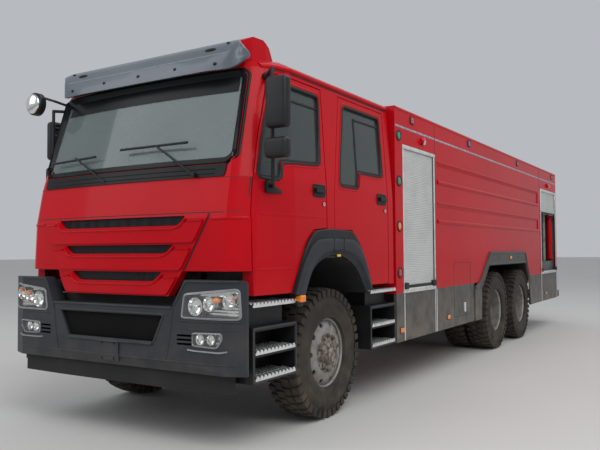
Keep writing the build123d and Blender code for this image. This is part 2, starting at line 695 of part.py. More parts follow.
def step_treads():
    """Slotted plates on each step."""
    plates = []
    for x0, x1, foot, head, top in STEP_BOXES:
        niche = (head - foot - 3 * STEP_WALL) / 2
        levels = (foot + STEP_WALL, foot + 2 * STEP_WALL + niche, top - TREAD_PLATE)
        for level in levels:
            ends = (x0 + STEP_WALL, x1 - STEP_WALL) if level < head else (x0 + 60, x1 - 60)
            plate = block(ends, (STEP_IN + 40, HALF_WIDTH - 8), (level, level + TREAD_PLATE))
            for index in range(4):
                y = STEP_IN + 80 + index * 50
                plate -= block((ends[0] + 40, ends[1] - 40), (y, y + 22), (level, level + TREAD_PLATE))
            plates.append(pair(plate))
    return group(*plates)


def body_block(x0, x1, foot=SKIRT_TOP):
    """A length of the body between its side panels."""
    return block((x0, x1), (-PANEL_Y, PANEL_Y), (foot, BODY_TOP))


def deck_recess(x0, x1):
    """The sunken roof deck between the parapets."""
    return block((x0, x1), (-PANEL_Y + PARAPET, PANEL_Y - PARAPET), (BODY_TOP - DECK_DROP, BODY_TOP))


def frame_gap(x0, x1):
    """The space that the chassis rails take under the body."""
    return block((x0, x1), (-WELL_IN, WELL_IN), (SKIRT_TOP, RAIL_TOP))


def shutter_opening(x0, x1, side):
    across = sorted((side * (PANEL_Y - BODY_WALL), side * PANEL_Y))
    return block((x0, x1), across, (SHUTTER_FOOT, SHUTTER_HEAD))


def front_locker():
    """The hollow locker behind the cab, with a shutter opening on each side."""
    x0, x1 = SEAM_FRONT, BODY_FRONT
    body = body_block(x0, x1) - deck_recess(x0, x1 - PARAPET) - frame_gap(x0, x1)
    body -= block((x0 + BODY_WALL, x1 - BODY_WALL), (-PANEL_Y + BODY_WALL, PANEL_Y - BODY_WALL),
                  (RAIL_TOP + BODY_WALL, SHUTTER_HEAD))
    for side in (1, -1):
        body -= shutter_opening(*FRONT_SHUTTER, side)
    return body


def tank_section():
    """The water tank behind stamped side panels, over the rear wheels."""
    x0, x1 = SEAM_REAR, SEAM_FRONT
    body = body_block(x0, x1) - deck_recess(x0, x1) - frame_gap(x0, x1)
    well = side_plate(REAR_ARCH_INNER, WELL_IN, PANEL_Y)
    body -= well + mirrored(well)
    for foot, head in BANDS:
        inner = PANEL_Y - BAND_DEPTH
        outline = ((PANEL_Y, head), (inner, head - 40), (inner, foot + 8), (PANEL_Y, foot))
        band = cross_plate(outline, x0 + 120, x1 - 60)
        body -= band + mirrored(band)
    return body


def pump_room():
    """The hollow pump room at the rear, open where its shutters are."""
    x0, x1 = BODY_REAR, SEAM_REAR
    body = body_block(x0, x1) - deck_recess(x0 + PARAPET, x1) - frame_gap(x0, x1)
    body -= block((x0 + BODY_WALL, x1 - BODY_WALL), (-PANEL_Y + BODY_WALL, PANEL_Y - BODY_WALL),
                  (RAIL_TOP + BODY_WALL, SHUTTER_HEAD))
    for side in (1, -1):
        body -= shutter_opening(*REAR_SHUTTER, side)
    body -= block((x0, x0 + BODY_WALL), (-BACK_SHUTTER, BACK_SHUTTER), (RAIL_TOP + BODY_WALL, SHUTTER_HEAD))
    return body


def shutter(width, foot, head, curtain_foot):
    """A slatted curtain in its frame, standing in the XZ plane and facing +Y."""
    frame = block((0, width), (0, SHUTTER_FRAME_DEPTH), (foot, head))
    frame -= block((SHUTTER_FRAME, width - SHUTTER_FRAME), (0, SHUTTER_FRAME_DEPTH),
                   (foot + SHUTTER_FRAME, head - SHUTTER_FRAME))
    outline = [(4, curtain_foot), (4, head - 1)]
    count = int((head - curtain_foot) / SLAT_PITCH)
    pitch = (head - 1 - curtain_foot) / count
    for index in range(count):
        top = head - 1 - index * pitch
        outline += [(12, top), (18, top - pitch * 0.35), (18, top - pitch * 0.75)]
    outline.append((12, curtain_foot))
    curtain = cross_plate(outline, SHUTTER_FRAME / 2, width - SHUTTER_FRAME / 2)
    return frame + curtain


def roller_shutters():
    """Curtains of the lockers: front pair and right rear one down, left rear one half up, back one down."""
    y = PANEL_Y - SHUTTER_FRAME_DEPTH + 4
    pieces = []
    for x0, x1 in (FRONT_SHUTTER, REAR_SHUTTER):
        left_foot = HALF_OPEN_Z if x0 == REAR_SHUTTER[0] else SHUTTER_FOOT
        pieces.append(Pos(x0, y, 0) * shutter(x1 - x0, SHUTTER_FOOT, SHUTTER_HEAD, left_foot))
        pieces.append(mirrored(Pos(x0, y, 0) * shutter(x1 - x0, SHUTTER_FOOT, SHUTTER_HEAD, SHUTTER_FOOT)))
    back = shutter(2 * BACK_SHUTTER, RAIL_TOP + BODY_WALL, SHUTTER_HEAD, RAIL_TOP + BODY_WALL)
    pieces.append(Pos(BODY_REAR + SHUTTER_FRAME_DEPTH - 4, -BACK_SHUTTER, 0) * Rot(0, 0, 90) * back)
    return group(*pieces)


def body_skirts():
    """Grey panels below the body on both sides, carried by arms from the rails."""
    pieces = []
    for x0, x1 in SKIRTS:
        skirt = block((x0, x1), (PANEL_Y - SKIRT_SKIN, PANEL_Y), (SKIRT_FOOT, SKIRT_TOP))
        for x in (x0 + 200, x1 - 200):
            skirt += block((x - 25, x + 25), (RAIL_OUTER, PANEL_Y - SKIRT_SKIN), (SKIRT_TOP - 90, SKIRT_TOP))
        pieces.append(pair(skirt))
    return group(*pieces)


def rear_arches():
    """Trims that stand out around the rear wheels."""
    ring = side_plate(REAR_ARCH_OUTER, PANEL_Y, HALF_WIDTH) - side_plate(REAR_ARCH_INNER, 0, HALF_WIDTH)
    return pair(ring)


def roof_deck():
    """The deck plate with the monitor's pedestal and the manhole's rim."""
    level = BODY_TOP - DECK_DROP
    deck = block((BODY_REAR + PARAPET, BODY_FRONT - PARAPET), (-PANEL_Y + PARAPET, PANEL_Y - PARAPET),
                 (level, level + DECK_PLATE))
    x, top = MONITOR_X, MONITOR_BASE
    deck += rod((x, 0, level), (x, 0, top), 90)
    deck += rod((x, 0, top - 20), (x, 0, top), 125)
    deck += rod((MANHOLE_X, 0, level), (MANHOLE_X, 0, MANHOLE_TOP), MANHOLE_RADIUS)
    deck -= rod((MANHOLE_X, 0, level), (MANHOLE_X, 0, MANHOLE_TOP), MANHOLE_RADIUS - 12)
    for y in (-HINGE_HALF, HINGE_HALF):
        deck += block((LID_HINGE_X - 25, LID_HINGE_X + 25), (y - 20, y + 20), (level, LID_HINGE_Z + 20))
        deck -= rod((LID_HINGE_X, y - 20, LID_HINGE_Z), (LID_HINGE_X, y + 20, LID_HINGE_Z), 8 + BEARING_GAP)
    return deck


def manhole_lid():
    """The round lid with two hinge arms on a pin."""
    lid = rod((MANHOLE_X, 0, MANHOLE_TOP + 0.5), (MANHOLE_X, 0, MANHOLE_TOP + 24), MANHOLE_RADIUS + 12)
    lid += rod((LID_HINGE_X, -HINGE_HALF - 30, LID_HINGE_Z), (LID_HINGE_X, HINGE_HALF + 30, LID_HINGE_Z), 8)
    lid += block((LID_HINGE_X, MANHOLE_X - MANHOLE_RADIUS + 30), (-60, 60),
                 (MANHOLE_TOP + 6, MANHOLE_TOP + 22))
    lid += rod((LID_HINGE_X, -60, LID_HINGE_Z), (LID_HINGE_X, 60, LID_HINGE_Z), 14)
    return lid


def monitor_turret():
    """The turning base of the water monitor with two cheeks."""
    base = rod((MONITOR_X, 0, MONITOR_BASE + 0.3), (MONITOR_X, 0, MONITOR_BASE + 50), 110)
    for side in (1, -1):
        cheek = block((MONITOR_X - 50, MONITOR_X + 50), sorted((side * 70, side * 90)),
                      (MONITOR_BASE + 50, MONITOR_PIVOT + 50))
        base += cheek
    return base - rod((MONITOR_X, -100, MONITOR_PIVOT), (MONITOR_X, 100, MONITOR_PIVOT), 20 + BEARING_GAP)


def monitor_barrel():
    """The monitor's tube on its trunnions, with a wider nozzle."""
    x, z = MONITOR_X, MONITOR_PIVOT
    tube = rod((x - MONITOR_TAIL, 0, z), (x + 800, 0, z), 45) + rod((x, -90, z), (x, 90, z), 20)
    tube += rod((x + 800, 0, z), (x + 1000, 0, z), 62)
    return tube - rod((x + 840, 0, z), (x + 1000, 0, z), MONITOR_BORE)


def pump():
    """The water pump and its delivery pipes on the pump room's floor."""
    floor = RAIL_TOP + BODY_WALL
    casing = rod((PUMP_X, -250, floor + 330), (PUMP_X, 250, floor + 330), 280)
    casing += block((PUMP_X - 270, PUMP_X + 270), (-300, 300), (floor, floor + 120))
    for x in (PUMP_X - 230, PUMP_X + 230):
        casing += block((x - 60, x + 60), (200, 820), (floor + 120, floor + 240))
        outlet = rod((x, 820, floor + 180), (x, 1010, floor + 180), 58)
        casing += outlet - rod((x, 900, floor + 180), (x, 1010, floor + 180), OUTLET_RADIUS)
    casing += rod((PUMP_X - 370, 1040, floor), (PUMP_X - 370, 1040, SHUTTER_HEAD), 34)
    return group(*casing.solids())


def rear_ladder():
    """A ladder up the right-hand side of the back."""
    x0, x1 = REAR_END + 40, BODY_REAR
    stiles = [block((x0, x0 + 30), (y - 15, y + 15), (700, BODY_TOP)) for y in LADDER_Y]
    rungs = [block((x0 + 3, x0 + 27), LADDER_Y, (z, z + 24)) for z in range(780, BODY_TOP - 60, 300)]
    mounts = [block((x0 + 30, x1), (y - 15, y + 15), (z, z + 30)) for y in LADDER_Y for z in (1100, 2700)]
    ladder = [*stiles, *rungs, *mounts]
    return sum(ladder[1:], ladder[0])


def rear_step():
    """The tail board with a towing jaw below it."""
    board = block((REAR_END, BODY_REAR), (-PANEL_Y, PANEL_Y), (500, 620))
    for y in (-400, 400):
        board += block((BODY_REAR, RAIL_REAR), (y - 15, y + 15), (560, 620))
        board += block((RAIL_REAR - 20, RAIL_REAR), (y - 15, y + 15), (560, RAIL_TOP - 30))
    jaw = block((REAR_END, RAIL_REAR), (-70, 70), (640, 880))
    jaw -= block((REAR_END, REAR_END + 120), (-70, 70), (720, 800))
    jaw += block((RAIL_REAR - 20, RAIL_REAR), (-RAIL_OUTER, RAIL_OUTER), (800, RAIL_TOP - 30))
    return board + jaw - rod((JAW_X, 0, 640), (JAW_X, 0, 880), JAW_BORE)


def body_lamps():
    """Side markers, round side lamps, warning lamps, and flood lamps over the shutters."""
    lamps = [block((x - dx, x + dx), (y, y + LAMP_PROUD), (z - dz, z + dz))
             for x, y, z, dx, dz in SIDE_LAMPS]
    for z in ROUND_LAMPS:
        lamps.append(rod((ROUND_LAMP_X, PANEL_Y, z), (ROUND_LAMP_X, PANEL_Y + LAMP_PROUD, z), 58))
    for x in FLOOD_LAMPS:
        lamps.append(rod((x, PANEL_Y, 2612), (x, PANEL_Y + 45, 2612), 42))
    return group(*[pair(lamp) for lamp in lamps])


def ring_points(radius, y):
    """Corners of a regular outline about the wheel's axis with a flat at the bottom."""
    corner = radius / cos(pi / TYRE_LUGS)
    turns = [-pi / 2 + (index + 0.5) * 2 * pi / TYRE_LUGS for index in range(TYRE_LUGS)]
    return [(corner * cos(turn), y, corner * sin(turn)) for turn in turns]


def flat_face(*points):
    return Face(Wire.make_polygon(points, close=True))


def drum(*sections):
    """A many-sided solid of flat faces through (y, radius) sections."""
    rings = [ring_points(radius, y) for y, radius in sections]
    faces = [flat_face(*rings[0]), flat_face(*rings[-1])]
    for near, far in zip(rings, rings[1:]):
        for index in range(TYRE_LUGS):
            after = (index + 1) % TYRE_LUGS
            faces.append(flat_face(near[index], near[after], far[after], far[index]))
    return Solid(Shell(faces))


def lug_band(half):
    """The tread between the shoulders, cut into lugs."""
    points = []
    pitch = 2 * pi / TYRE_LUGS
    for index in range(TYRE_LUGS):
        centre = -pi / 2 + index * pitch
        for step, drop in ((-0.36, TREAD_DEPTH), (-0.27, 0), (0.27, 0), (0.36, TREAD_DEPTH)):
            radius = (TYRE_RADIUS - drop) / cos(0.27 * pitch)
            points.append((radius * cos(centre + step * pitch), radius * sin(centre + step * pitch)))
    face = make_face(Polyline(*points, close=True))
    return extrude(Plane.XZ.offset(-half) * face, amount=2 * half)


def tyre(lugs):
    """One tyre about the origin; the inner one of a pair is plain."""
    half = TYRE_WIDTH / 2
    carcass = TYRE_RADIUS - TREAD_DEPTH - 6
    tread = half - SHOULDER
    if lugs:
        solid = drum((-half, 445), (-tread, carcass), (tread, carcass), (half, 445)) + lug_band(tread)
    else:
        solid = drum((-half, 445), (-tread, TYRE_RADIUS), (tread, TYRE_RADIUS), (half, 445))
    bead = RIM_WIDTH / 2
    return solid - drum((-half, 425), (-bead, RIM_RADIUS), (bead, RIM_RADIUS), (half, 425))


def rim(disc_y, bowl_y, holes):
    """A rim about the origin: a barrel and a bowl that reaches from it to a flat disc."""
    edge = RIM_WIDTH / 2 + 12
    inner = RIM_RADIUS - RIM_WALL
    shell = drum((-edge, RIM_RADIUS), (edge, RIM_RADIUS))
    if holes:
        shell += drum((edge - 8, RIM_RADIUS + 16), (edge, RIM_RADIUS + 16))
    shell -= drum((-edge, inner), (edge, inner))
    lean = 14 if bowl_y > disc_y else -14
    bowl = drum(*sorted(((disc_y, 180), (bowl_y, inner + 4))))
    bowl -= drum(*sorted(((disc_y + lean, 172), (bowl_y + lean, inner + 4))))
    for index in range(HAND_HOLES if holes else 0):
        slot = Pos(230, 0, 0) * Box(44, 600, 60)
        bowl -= Rot(0, index * 360 / HAND_HOLES, 0) * slot
    return shell + bowl


def hub(low, high):
    """A wheel's hub drum with its cap."""
    return drum((low, HUB_RADIUS), (high - 40, HUB_RADIUS)) + drum((high - 40, 80), (high, 80))


def bored(rims, x, low, high):
    """Rims with a blind bore for the spindle."""
    return rims - rod((x, low, AXLE_Z), (x, high, AXLE_Z), SPINDLE_RADIUS + BEARING_GAP)


def wheel(x, side, count):
    """The tyres and the joined rims of one wheel or twin pair."""
    if count == 1:
        middle = FRONT_TRACK / 2
        tyres = [Pos(x, middle, AXLE_Z) * tyre(True)]
        rims = Pos(x, middle, AXLE_Z) * (rim(55, -10, True) + hub(6, 140))
        rims = bored(rims, x, middle, middle + SPINDLE_END + 10)
    else:
        outer = (REAR_TRACK + DUAL_SPACING) / 2
        inner = outer - DUAL_SPACING
        reach = DUAL_SPACING / 2
        tyres = [Pos(x, outer, AXLE_Z) * tyre(True), Pos(x, inner, AXLE_Z) * tyre(False)]
        rims = Pos(x, outer, AXLE_Z) * (rim(-reach, -reach + 75, True) + hub(-375, 75))
        rims += Pos(x, inner, AXLE_Z) * rim(reach, reach - 75, False)
        rims = bored(rims, x, outer - 375, REAR_SPINDLE_END + 10)
    shapes = [group(*tyres), rims]
    return shapes if side > 0 else [mirrored(shape) for shape in shapes]


def main():
    os.makedirs("parts", exist_ok=True)
    pieces = {
        "frame_rails": frame_rails(), "front_axle": front_axle(), "rear_axles": rear_axles(),
        "leaf_springs": leaf_springs(), "engine": engine(), "drive_line": drive_line(),
        "front_bumper": front_bumper(), "front_lamps": front_lamps(),
        "cab_steps": cab_steps(), "step_treads": step_treads(),
        "front_locker": front_locker(), "tank_section": tank_section(), "pump_room": pump_room(),
        "roller_shutters": roller_shutters(), "body_skirts": body_skirts(), "rear_arches": rear_arches(),
        "roof_deck": roof_deck(), "pump": pump(), "rear_ladder": rear_ladder(), "rear_step": rear_step(),
        "body_lamps": body_lamps(),
        "cab_shell": cab_shell(), "cab_floor": cab_floor(), "windscreen": windscreen(),
        "grille_panel": grille_panel(), "grille_mesh": grille_mesh(), "sun_visor": sun_visor(),
        "front_arches": front_arches(), "dashboard": dashboard(), "steering_wheel": steering_wheel(),
        "seats": seats(), "wipers_kerb_mirror": wipers_kerb_mirror(),
        "tie_rod": tie_rod(), "manhole_lid": manhole_lid(),
        "monitor_turret": monitor_turret(), "monitor_barrel": monitor_barrel(),
    }
    for name, side in (("left", 1), ("right", -1)):
        pieces[f"knuckle_{name}"] = knuckle(side)
        pieces[f"front_door_{name}"] = door_panel(FRONT_DOOR, FRONT_WINDOW, side, FRONT_HANDLE_X)
        pieces[f"front_door_glass_{name}"] = door_glass(FRONT_WINDOW, side)
        pieces[f"rear_door_{name}"] = door_panel(REAR_DOOR, REAR_WINDOW, side, REAR_HANDLE_X)
        pieces[f"rear_door_glass_{name}"] = door_glass(REAR_WINDOW, side)
        pieces[f"mirrors_{name}"] = mirrors(side)
    for name, x, side, count in WHEELS:
        pieces[f"tyre_{name}"], pieces[f"rim_{name}"] = wheel(x, side, count)
    for name, shape in pieces.items():
        export_step(Pos(ORIGIN_SHIFT, 0, 0) * shape, f"parts/{name}.step")


main()
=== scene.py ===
from math import cos, pi, radians, sin

import bmesh
import bpy
from mathutils import Matrix, Vector
from mathutils.bvhtree import BVHTree


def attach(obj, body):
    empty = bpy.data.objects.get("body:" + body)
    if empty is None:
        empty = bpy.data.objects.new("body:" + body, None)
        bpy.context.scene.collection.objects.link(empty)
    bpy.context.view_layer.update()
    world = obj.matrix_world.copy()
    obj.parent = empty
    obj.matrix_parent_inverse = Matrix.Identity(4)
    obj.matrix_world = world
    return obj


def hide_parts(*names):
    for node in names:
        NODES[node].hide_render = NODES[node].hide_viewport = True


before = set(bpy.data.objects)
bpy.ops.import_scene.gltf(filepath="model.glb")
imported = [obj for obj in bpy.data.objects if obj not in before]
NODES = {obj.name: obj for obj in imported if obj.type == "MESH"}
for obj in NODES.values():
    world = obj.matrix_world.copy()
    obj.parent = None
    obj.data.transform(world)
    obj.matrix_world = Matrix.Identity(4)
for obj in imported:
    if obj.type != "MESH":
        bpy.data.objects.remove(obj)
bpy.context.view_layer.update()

FRONT_AXLE = 3.825
BODY_WALL = 1.235
SIDES = (("left", 1), ("right", -1))


# Finishes

def add_node(tree, kind, inputs=None, **settings):
    made = tree.nodes.new(kind)
    for key, value in settings.items():
        setattr(made, key, value)
    for key, value in (inputs or {}).items():
        if isinstance(value, bpy.types.NodeSocket):
            tree.links.new(value, made.inputs[key])
        else:
            made.inputs[key].default_value = value
    return made


def noise(tree, scale, low, high, detail=4):
    """Fractal noise on the piece's own coordinates, stretched between two levels."""
    place = add_node(tree, "ShaderNodeTexCoord")
    grain = add_node(tree, "ShaderNodeTexNoise", {"Vector": place.outputs["Object"], "Scale": scale,
                                                  "Detail": detail})
    return add_node(tree, "ShaderNodeMapRange", {"Value": grain.outputs["Fac"], "From Min": low, "From Max": high}
                    ).outputs["Result"]


def height(tree, low, high):
    """0 above the high level and 1 below the low one."""
    place = add_node(tree, "ShaderNodeTexCoord")
    level = add_node(tree, "ShaderNodeSeparateXYZ", {"Vector": place.outputs["Object"]}).outputs["Z"]
    return add_node(tree, "ShaderNodeMapRange", {"Value": level, "From Min": high, "From Max": low}).outputs["Result"]


def times(tree, first, second):
    return add_node(tree, "ShaderNodeMath", {0: first, 1: second}, operation="MULTIPLY").outputs["Value"]


def blended(tree, factor, first, second):
    """A colour between two colours or sockets."""
    mixed = add_node(tree, "ShaderNodeMix", {"Factor": factor}, data_type="RGBA")
    colours = [socket for socket in mixed.inputs if socket.type == "RGBA"]
    for socket, value in zip(colours, (first, second)):
        if isinstance(value, bpy.types.NodeSocket):
            tree.links.new(value, socket)
        else:
            socket.default_value = (*value, 1)
    return next(socket for socket in mixed.outputs if socket.type == "RGBA")


ROAD_DUST = (0.20, 0.165, 0.125)


def finish(name, color, roughness=0.5, worn=None, wear_scale=3.0, wear=(0.45, 0.7), dust=None, grain=None,
           **shader_values):
    """A material: a colour broken up by wear, with dust between two heights that thickens downwards, and a grain."""
    made = bpy.data.materials.new(name)
    made.use_nodes = True
    tree = made.node_tree
    shader = tree.nodes["Principled BSDF"]
    worn = worn or tuple(channel * 0.8 for channel in color)
    surface = blended(tree, noise(tree, wear_scale, *wear), color, worn)
    if dust:
        amount = times(tree, noise(tree, 7.0, 0.3, 0.65, 6), height(tree, *dust))
        surface = blended(tree, amount, surface, ROAD_DUST)
    tree.links.new(surface, shader.inputs["Base Color"])
    shader.inputs["Roughness"].default_value = roughness
    if grain:
        scale, depth = grain
        bump = add_node(tree, "ShaderNodeBump", {"Height": noise(tree, scale, 0.3, 0.7, 3), "Distance": depth,
                                                 "Strength": 0.6})
        tree.links.new(bump.outputs["Normal"], shader.inputs["Normal"])
    for socket, value in shader_values.items():
        shader.inputs[socket.replace("_", " ")].default_value = value
    return made


RED = finish("red_paint", (0.52, 0.003, 0.009), 0.30, (0.46, 0.002, 0.008), 0.8, dust=(-4.0, 1.3), Coat_Weight=0.10,
             Coat_Roughness=0.06, Specular_IOR_Level=0.08)
SLATE = finish("slate_plastic", (0.023, 0.026, 0.033), 0.5, (0.029, 0.032, 0.038), 4.0, dust=(-2.5, 1.2),
               grain=(700.0, 0.0004), Specular_IOR_Level=0.35)
BLACK = finish("black_plastic", (0.009, 0.009, 0.010), 0.45, (0.015, 0.015, 0.016), 5.0, grain=(600.0, 0.0003),
               Specular_IOR_Level=0.35)
RUBBER = finish("gasket_rubber", (0.010, 0.010, 0.011), 0.6, (0.016, 0.016, 0.016), 9.0)
SKIRT_GREY = finish("grey_paint", (0.060, 0.060, 0.056), 0.45, (0.050, 0.050, 0.047), 1.6, dust=(0.1, 1.4),
                    Coat_Weight=0.1, Specular_IOR_Level=0.25)
BRIGHT = finish("bright_metal", (0.78, 0.79, 0.78), 0.30, (0.62, 0.62, 0.61), 14.0, Metallic=0.5)
CHEQUER = finish("chequer_plate", (0.55, 0.56, 0.56), 0.34, (0.34, 0.33, 0.31), 10.0, dust=(-0.3, 1.6), Metallic=0.8)
SHUTTER = finish("shutter_slats", (0.66, 0.67, 0.65), 0.42, (0.58, 0.59, 0.57), 2.5, Metallic=0.25)
VISOR = finish("visor_grey", (0.085, 0.105, 0.128), 0.35, (0.105, 0.125, 0.15), 2.0, Coat_Weight=0.3)
CHASSIS = finish("chassis_black", (0.016, 0.016, 0.017), 0.6, (0.030, 0.027, 0.024), 5.0, dust=(-0.2, 1.4))
AXLE = finish("axle_steel", (0.030, 0.026, 0.022), 0.7, (0.085, 0.052, 0.032), 8.0, dust=(0.0, 1.4),
              grain=(60.0, 0.002))
TYRE = finish("tyre_rubber", (0.010, 0.0085, 0.007), 0.86, (0.034, 0.023, 0.015), 3.2, (0.38, 0.66),
              dust=(-3.0, 1.4), grain=(90.0, 0.0015))
RIM = finish("rim_paint", (0.33, 0.33, 0.32), 0.42, (0.17, 0.14, 0.11), 9.0, (0.48, 0.75), dust=(-1.2, 2.6),
             Metallic=0.35, grain=(120.0, 0.0006))
HUB = finish("rusty_hub", (0.13, 0.10, 0.075), 0.6, (0.36, 0.33, 0.29), 22.0, (0.45, 0.62), grain=(80.0, 0.0015),
             Metallic=0.3)
FABRIC = finish("seat_fabric", (0.035, 0.037, 0.042), 0.9, (0.055, 0.056, 0.060), 20.0, grain=(260.0, 0.001))
LINING = finish("cab_lining", (0.12, 0.12, 0.115), 0.8, (0.09, 0.09, 0.088), 6.0)
CHROME = finish("reflector", (0.80, 0.80, 0.79), 0.12, (0.70, 0.70, 0.69), 30.0, Metallic=1.0)
GLASS = finish("window_glass", (0.050, 0.064, 0.062), 0.04, (0.040, 0.050, 0.050), 0.9, Alpha=0.80,
               Specular_IOR_Level=0.6)
SCREEN = finish("screen_glass", (0.19, 0.235, 0.235), 0.05, (0.16, 0.20, 0.20), 0.9, Alpha=0.66,
                Specular_IOR_Level=0.5)
TINT = finish("tinted_glass", (0.010, 0.011, 0.012), 0.25, (0.014, 0.016, 0.017), 1.5, Specular_IOR_Level=0.12)
LENS = finish("clear_lens", (0.75, 0.76, 0.75), 0.05, (0.66, 0.67, 0.66), 12.0, Alpha=0.12, Specular_IOR_Level=0.8)
# Near-black that paints shade. The sheets behind the grille and bumper gaps and the bumper's underside are painted
# shade. On the arch linings it is partly the liners' own colour and partly painted shade.
SHADE_AND_LINER = finish("painted_shade_and_liner", (0.012, 0.012, 0.012), 0.8, (0.020, 0.019, 0.018), 3.0)
BEZEL = finish("pale_bezel", (0.30, 0.31, 0.32), 0.35, (0.22, 0.23, 0.24), 14.0, Metallic=0.4)
AMBER = finish("amber_lens", (0.85, 0.22, 0.01), 0.15, (0.95, 0.33, 0.02), 60.0, Coat_Weight=0.6)
YELLOW = finish("yellow_lens", (0.85, 0.55, 0.03), 0.2, (0.70, 0.42, 0.02), 60.0)
GREEN = finish("green_lens", (0.01, 0.20, 0.10), 0.15, (0.02, 0.34, 0.18), 60.0, Coat_Weight=0.6)
RED_LENS = finish("red_lens", (0.45, 0.005, 0.01), 0.12, (0.60, 0.01, 0.015), 60.0, Coat_Weight=0.6)
BLUE = finish("blue_lens", (0.015, 0.04, 0.30), 0.12, (0.03, 0.09, 0.55), 60.0, Coat_Weight=0.6)
SILVER_TAPE = finish("reflective_tape", (0.30, 0.28, 0.34), 0.35, (0.60, 0.60, 0.61), 40.0, Metallic=0.3)
DECK = finish("deck_plate", (0.42, 0.43, 0.43), 0.42, (0.34, 0.34, 0.34), 4.0, Metallic=0.6)


# Shaping

def at(x, y, z):
    """A point given from the front axle."""
    return Vector((x + FRONT_AXLE, y, z))


def add_box(bm, low, high):
    low, high = Vector(low), Vector(high)
    size = high - low
    place = Matrix.Translation((low + high) / 2) @ Matrix.Diagonal((*(abs(edge) for edge in size), 1))
    return bmesh.ops.create_cube(bm, size=1, matrix=place)["verts"]


def add_rod(bm, start, end, radius, sides=20, far_radius=None):
    start, end = Vector(start), Vector(end)
    axis = end - start
    place = Matrix.Translation((start + end) / 2) @ axis.to_track_quat("Z", "Y").to_matrix().to_4x4()
    return bmesh.ops.create_cone(bm, cap_ends=True, segments=sides, radius1=radius, depth=axis.length,
                                 radius2=radius if far_radius is None else far_radius, matrix=place)["verts"]


def add_ball(bm, middle, radius, flat=(1, 1, 1)):
    place = Matrix.Translation(middle) @ Matrix.Diagonal((*flat, 1))
    return bmesh.ops.create_uvsphere(bm, u_segments=20, v_segments=12, radius=radius, matrix=place)["verts"]


def add_tube(bm, points, radius, sides=12):
    """Rods along a line of points with a ball at every bend."""
    points = [Vector(point) for point in points]
    for start, end in zip(points, points[1:]):
        add_rod(bm, start, end, radius, sides)
    for bend in points[1:-1]:
        add_ball(bm, bend, radius)


def add_lathe(bm, profile, middle, steps=96):
    """A closed profile of (y, radius) points spun about an axis along Y through the middle."""
    corners = [bm.verts.new((middle[0], middle[1] + y, middle[2] + radius)) for y, radius in profile]
    edges = [bm.edges.new(pair) for pair in zip(corners, corners[1:] + corners[:1])]
    bmesh.ops.spin(bm, geom=corners + edges, cent=middle, axis=(0, 1, 0), angle=2 * pi, steps=steps, use_merge=True)


def add_prism(bm, outline, push):
    """A flat outline of points, pushed along a vector."""
    face = bm.faces.new([bm.verts.new(point) for point in outline])
    moved = bmesh.ops.extrude_face_region(bm, geom=[face])["geom"]
    corners = [item for item in moved if isinstance(item, bmesh.types.BMVert)]
    bmesh.ops.translate(bm, verts=corners, vec=push)
    return corners


def bevel(bm, edges, width, segments):
    bmesh.ops.bevel(bm, geom=edges, offset=width, segments=segments, profile=0.5, affect="EDGES", material=-1,
                    clamp_overlap=True)


def rounded(bm, width, segments=2, angle=35):
    """Rounds every edge that is sharper than an angle."""
    bevel(bm, [edge for edge in bm.edges if len(edge.link_faces) == 2 and edge.calc_face_angle(0) > radians(angle)],
          width, segments)


def meshed(name, bm):
    """A mesh from a bmesh, which is used up."""
    mesh = bpy.data.meshes.new(name)
    bm.to_mesh(mesh)
    bm.free()
    return mesh


def placed(name, data):
    """A new object in the scene."""
    made = bpy.data.objects.new(name, data)
    bpy.context.scene.collection.objects.link(made)
    return made


SHARP_ANGLE = 32


def shade(mesh, angle):
    mesh.shade_smooth()
    mesh.set_sharp_from_angle(angle=radians(angle))


def piece(name, bm, body, material, replaced=(), smooth=SHARP_ANGLE):
    """Turns a bmesh into a piece that rides on a body."""
    bmesh.ops.recalc_face_normals(bm, faces=bm.faces)
    mesh = meshed(name, bm)
    shade(mesh, smooth)
    made = placed(name, mesh)
    mesh.materials.append(material)
    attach(made, body)
    if replaced:
        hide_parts(*replaced)
    return made


SKINS = {}


def skin_of(*names):
    """A search tree over the meshes of CAD nodes."""
    if names not in SKINS:
        bm = bmesh.new()
        for name in names:
            bm.from_mesh(NODES[name].data)
        SKINS[names] = BVHTree.FromBMesh(bm)
        bm.free()
    return SKINS[names]


def traced(points, radius=0.0, step=0.08, closed=False, arc=4):
    """A flat path with round corners and extra points along its long runs."""
    corners = [Vector(point) for point in points]
    turned = []
    for index, here in enumerate(corners):
        if not radius or (not closed and index in (0, len(corners) - 1)):
            turned.append(here)
            continue
        before, after = corners[index - 1], corners[(index + 1) % len(corners)]
        reach = min(radius, (before - here).length * 0.45, (after - here).length * 0.45)
        start = here + (before - here).normalized() * reach
        end = here + (after - here).normalized() * reach
        turned += [start * (1 - share) ** 2 + here * 2 * share * (1 - share) + end * share ** 2
                   for share in (number / arc for number in range(arc + 1))]
    made = []
    for start, end in zip(turned, turned[1:] + (turned[:1] if closed else [])):
        count = max(1, round((end - start).length / step))
        made += [start.lerp(end, number / count) for number in range(count)]
    return made if closed else made + turned[-1:]


def grown(points, gap):
    """A closed flat outline with every edge moved outwards."""
    corners = [Vector(point) for point in points]
    area = sum(here.cross(after) for here, after in zip(corners, corners[1:] + corners[:1]))
    turn = -1 if area > 0 else 1
    made = []
    for before, here, after in zip(corners[-1:] + corners, corners, corners[1:] + corners[:1]):
        normals = [Vector((-edge.y, edge.x)).normalized() * turn for edge in (here - before, after - here)]
        middle = (normals[0] + normals[1]).normalized()
        made.append(here + middle * gap / max(0.4, middle.dot(normals[0])))
    return made


def both_halves(half):
    """A closed outline across the truck from the points of its left half."""
    return [*half, *((-y, z) for y, z in reversed(half))]


def on_front(*names):
    """Lays flat (y, z) points on the front of nodes."""
    tree = skin_of(*names)

    def place(point, lift):
        hit = tree.ray_cast(Vector((8.0, *point)), Vector((-1, 0, 0)))[0]
        hit = hit or tree.find_nearest(Vector((5.1, *point)))[0]
        return Vector((hit.x + lift, *point))
    return place


